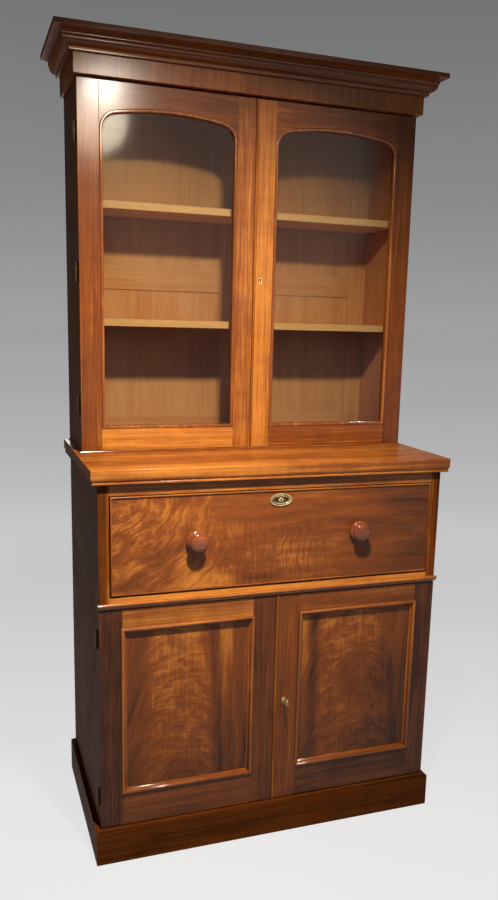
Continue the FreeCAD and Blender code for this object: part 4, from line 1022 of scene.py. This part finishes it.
def seen(finish):
    """1 for rays from the camera, a mirror or a pane, and 0 for rays that carry light to the object."""
    outputs = finish.node("ShaderNodeLightPath").socket.node.outputs
    rays = [Wire(finish, outputs[n]) for n in ("Is Camera Ray", "Is Glossy Ray", "Is Transmission Ray")]
    return finish.maths("MINIMUM", rays[0] + rays[1] + rays[2], 1.0)


def floor_finish():
    """The floor's own colour, mixed with a matt surface that takes the shadow near the cabinet."""
    finish = Finish(bpy.data.materials.new("pale_floor"))
    place = finish.place()
    x, y = finish.parts(place)[:2]
    away = math.sin(YAW) * x + math.cos(YAW) * y
    first, last = FLOOR_STOPS[0][0], FLOOR_STOPS[-1][0]
    share = finish.node("ShaderNodeMapRange", {}, {"Value": away, "From Min": first, "From Max": last})
    stops = [((metres - first) / (last - first), grey(value)) for metres, value in FLOOR_STOPS]
    colour = finish.node("ShaderNodeValToRGB", {"stops": stops}, {0: share})
    cloud = finish.noise(place, FLOOR_CLOUD_SCALE, 3.0)
    shine = finish.node("ShaderNodeEmission", {}, {"Color": colour, "Strength": 1.0})
    matt = finish.node("ShaderNodeBsdfDiffuse", {}, {"Color": finish.mix(FLOOR_CLOUD * cloud, MATT_GREY, colour)})
    far = finish.step(x * x + y * y, *SHADOW_FADE_SQUARED)
    own = OWN_LIGHT + (1 - OWN_LIGHT) * far
    return finish.end(finish.node("ShaderNodeMixShader", {}, {0: own * seen(finish), 1: matt, 2: shine}))


bpy.ops.object.select_all(action="DESELECT")
bpy.ops.mesh.primitive_circle_add(vertices=FLOOR_SIDES, radius=FLOOR_RADIUS, fill_type="NGON")
floor = bpy.context.active_object
floor.name = "floor"
floor.data.materials.append(floor_finish())
print("floor", 2 * FLOOR_RADIUS, "m across")

# %% [markdown]
# The background is the world itself. What the camera and mirrors see is a grey that darkens upwards, and what lights
# the object is a much weaker warm fill, so that the grey can be bright without washing out the shadows.

# %% Background
SKY_STOPS = [(0.0, 159), (0.13, 138), (0.32, 115), (1.0, 96)]
FILL_COLOUR = (0.07, 0.0665, 0.049, 1.0)

world = bpy.data.worlds.new("grey_background")
bpy.context.scene.world = world
sky = Finish(world)
upward = sky.parts(sky.node("ShaderNodeTexCoord", output="Generated"))[2]
stops = [(height, grey(value)) for height, value in SKY_STOPS]
shown = sky.node("ShaderNodeBackground", {}, {"Color": sky.node("ShaderNodeValToRGB", {"stops": stops}, {0: upward}),
                                              "Strength": 1.0})
fill = sky.node("ShaderNodeBackground", {}, {"Color": FILL_COLOUR, "Strength": 1.0})
sky.end(sky.node("ShaderNodeMixShader", {}, {0: seen(sky), 1: fill, 2: shown}), "ShaderNodeOutputWorld")
print("background made in", len(SKY_STOPS), "greys")

# %% [markdown]
# One fairly small lamp shines down in front of the cabinet: the knobs throw crisp shadows, the base's edge shades the
# rail under it, and light falls off towards the plinth. A disk-shaped area lamp with a limited spread does that. A weak
# glow, lower and nearer, gives the soft highlight at the upper left of the polished door and the frieze, and it shows
# in the polish alone. One broad weak lamp from the front keeps the shadows open, and one lights the back.


# %% Lamps
def hang_lamp(name, place, target, size, power, colour, spread):
    """A round lamp at a place, turned to a target, with its width in metres, its watts and its spread in degrees."""
    bpy.ops.object.select_all(action="DESELECT")
    bpy.ops.object.light_add(type="AREA", location=place)
    lamp = bpy.context.active_object
    lamp.name = name
    lamp.data.shape = "DISK"
    lamp.data.size = size
    lamp.data.energy = power
    lamp.data.color = colour
    lamp.data.spread = math.radians(spread)
    lamp.visible_camera = False
    lamp.rotation_euler = (Vector(target) - Vector(place)).to_track_quat("-Z", "Y").to_euler()
    return lamp


WARM = (1.0, 0.92, 0.80)
AMBER = (1.0, 0.84, 0.64)
NEARLY_WHITE = (1.0, 0.97, 0.92)
key = hang_lamp("key_lamp", (-0.25, -1.10, 2.36), (-0.25, 0.20, 0.0), size=0.12, power=23.0, colour=WARM, spread=104.0)
glow = hang_lamp("lamp_glow", (-0.31, -0.87, 2.17), (-0.40, 0.0, 1.9), size=0.22, power=4.4, colour=AMBER, spread=180.0)
front = hang_lamp("fill_lamp", (0.9, -3.0, 2.3), (0.2, 0.0, 1.7), size=1.8, power=10.0, colour=NEARLY_WHITE,
                  spread=180.0)
back = hang_lamp("back_lamp", (0.3, 2.6, 1.7), (0.0, 0.3, 1.1), size=1.6, power=12.0, colour=NEARLY_WHITE, spread=120.0)
glow.visible_diffuse = False
print("hung", ", ".join(lamp.name for lamp in (key, glow, front, back)))

# %% [markdown]
# Colours are shown as they are, with no film look.

# %% View settings
bpy.context.scene.view_settings.view_transform = "Standard"
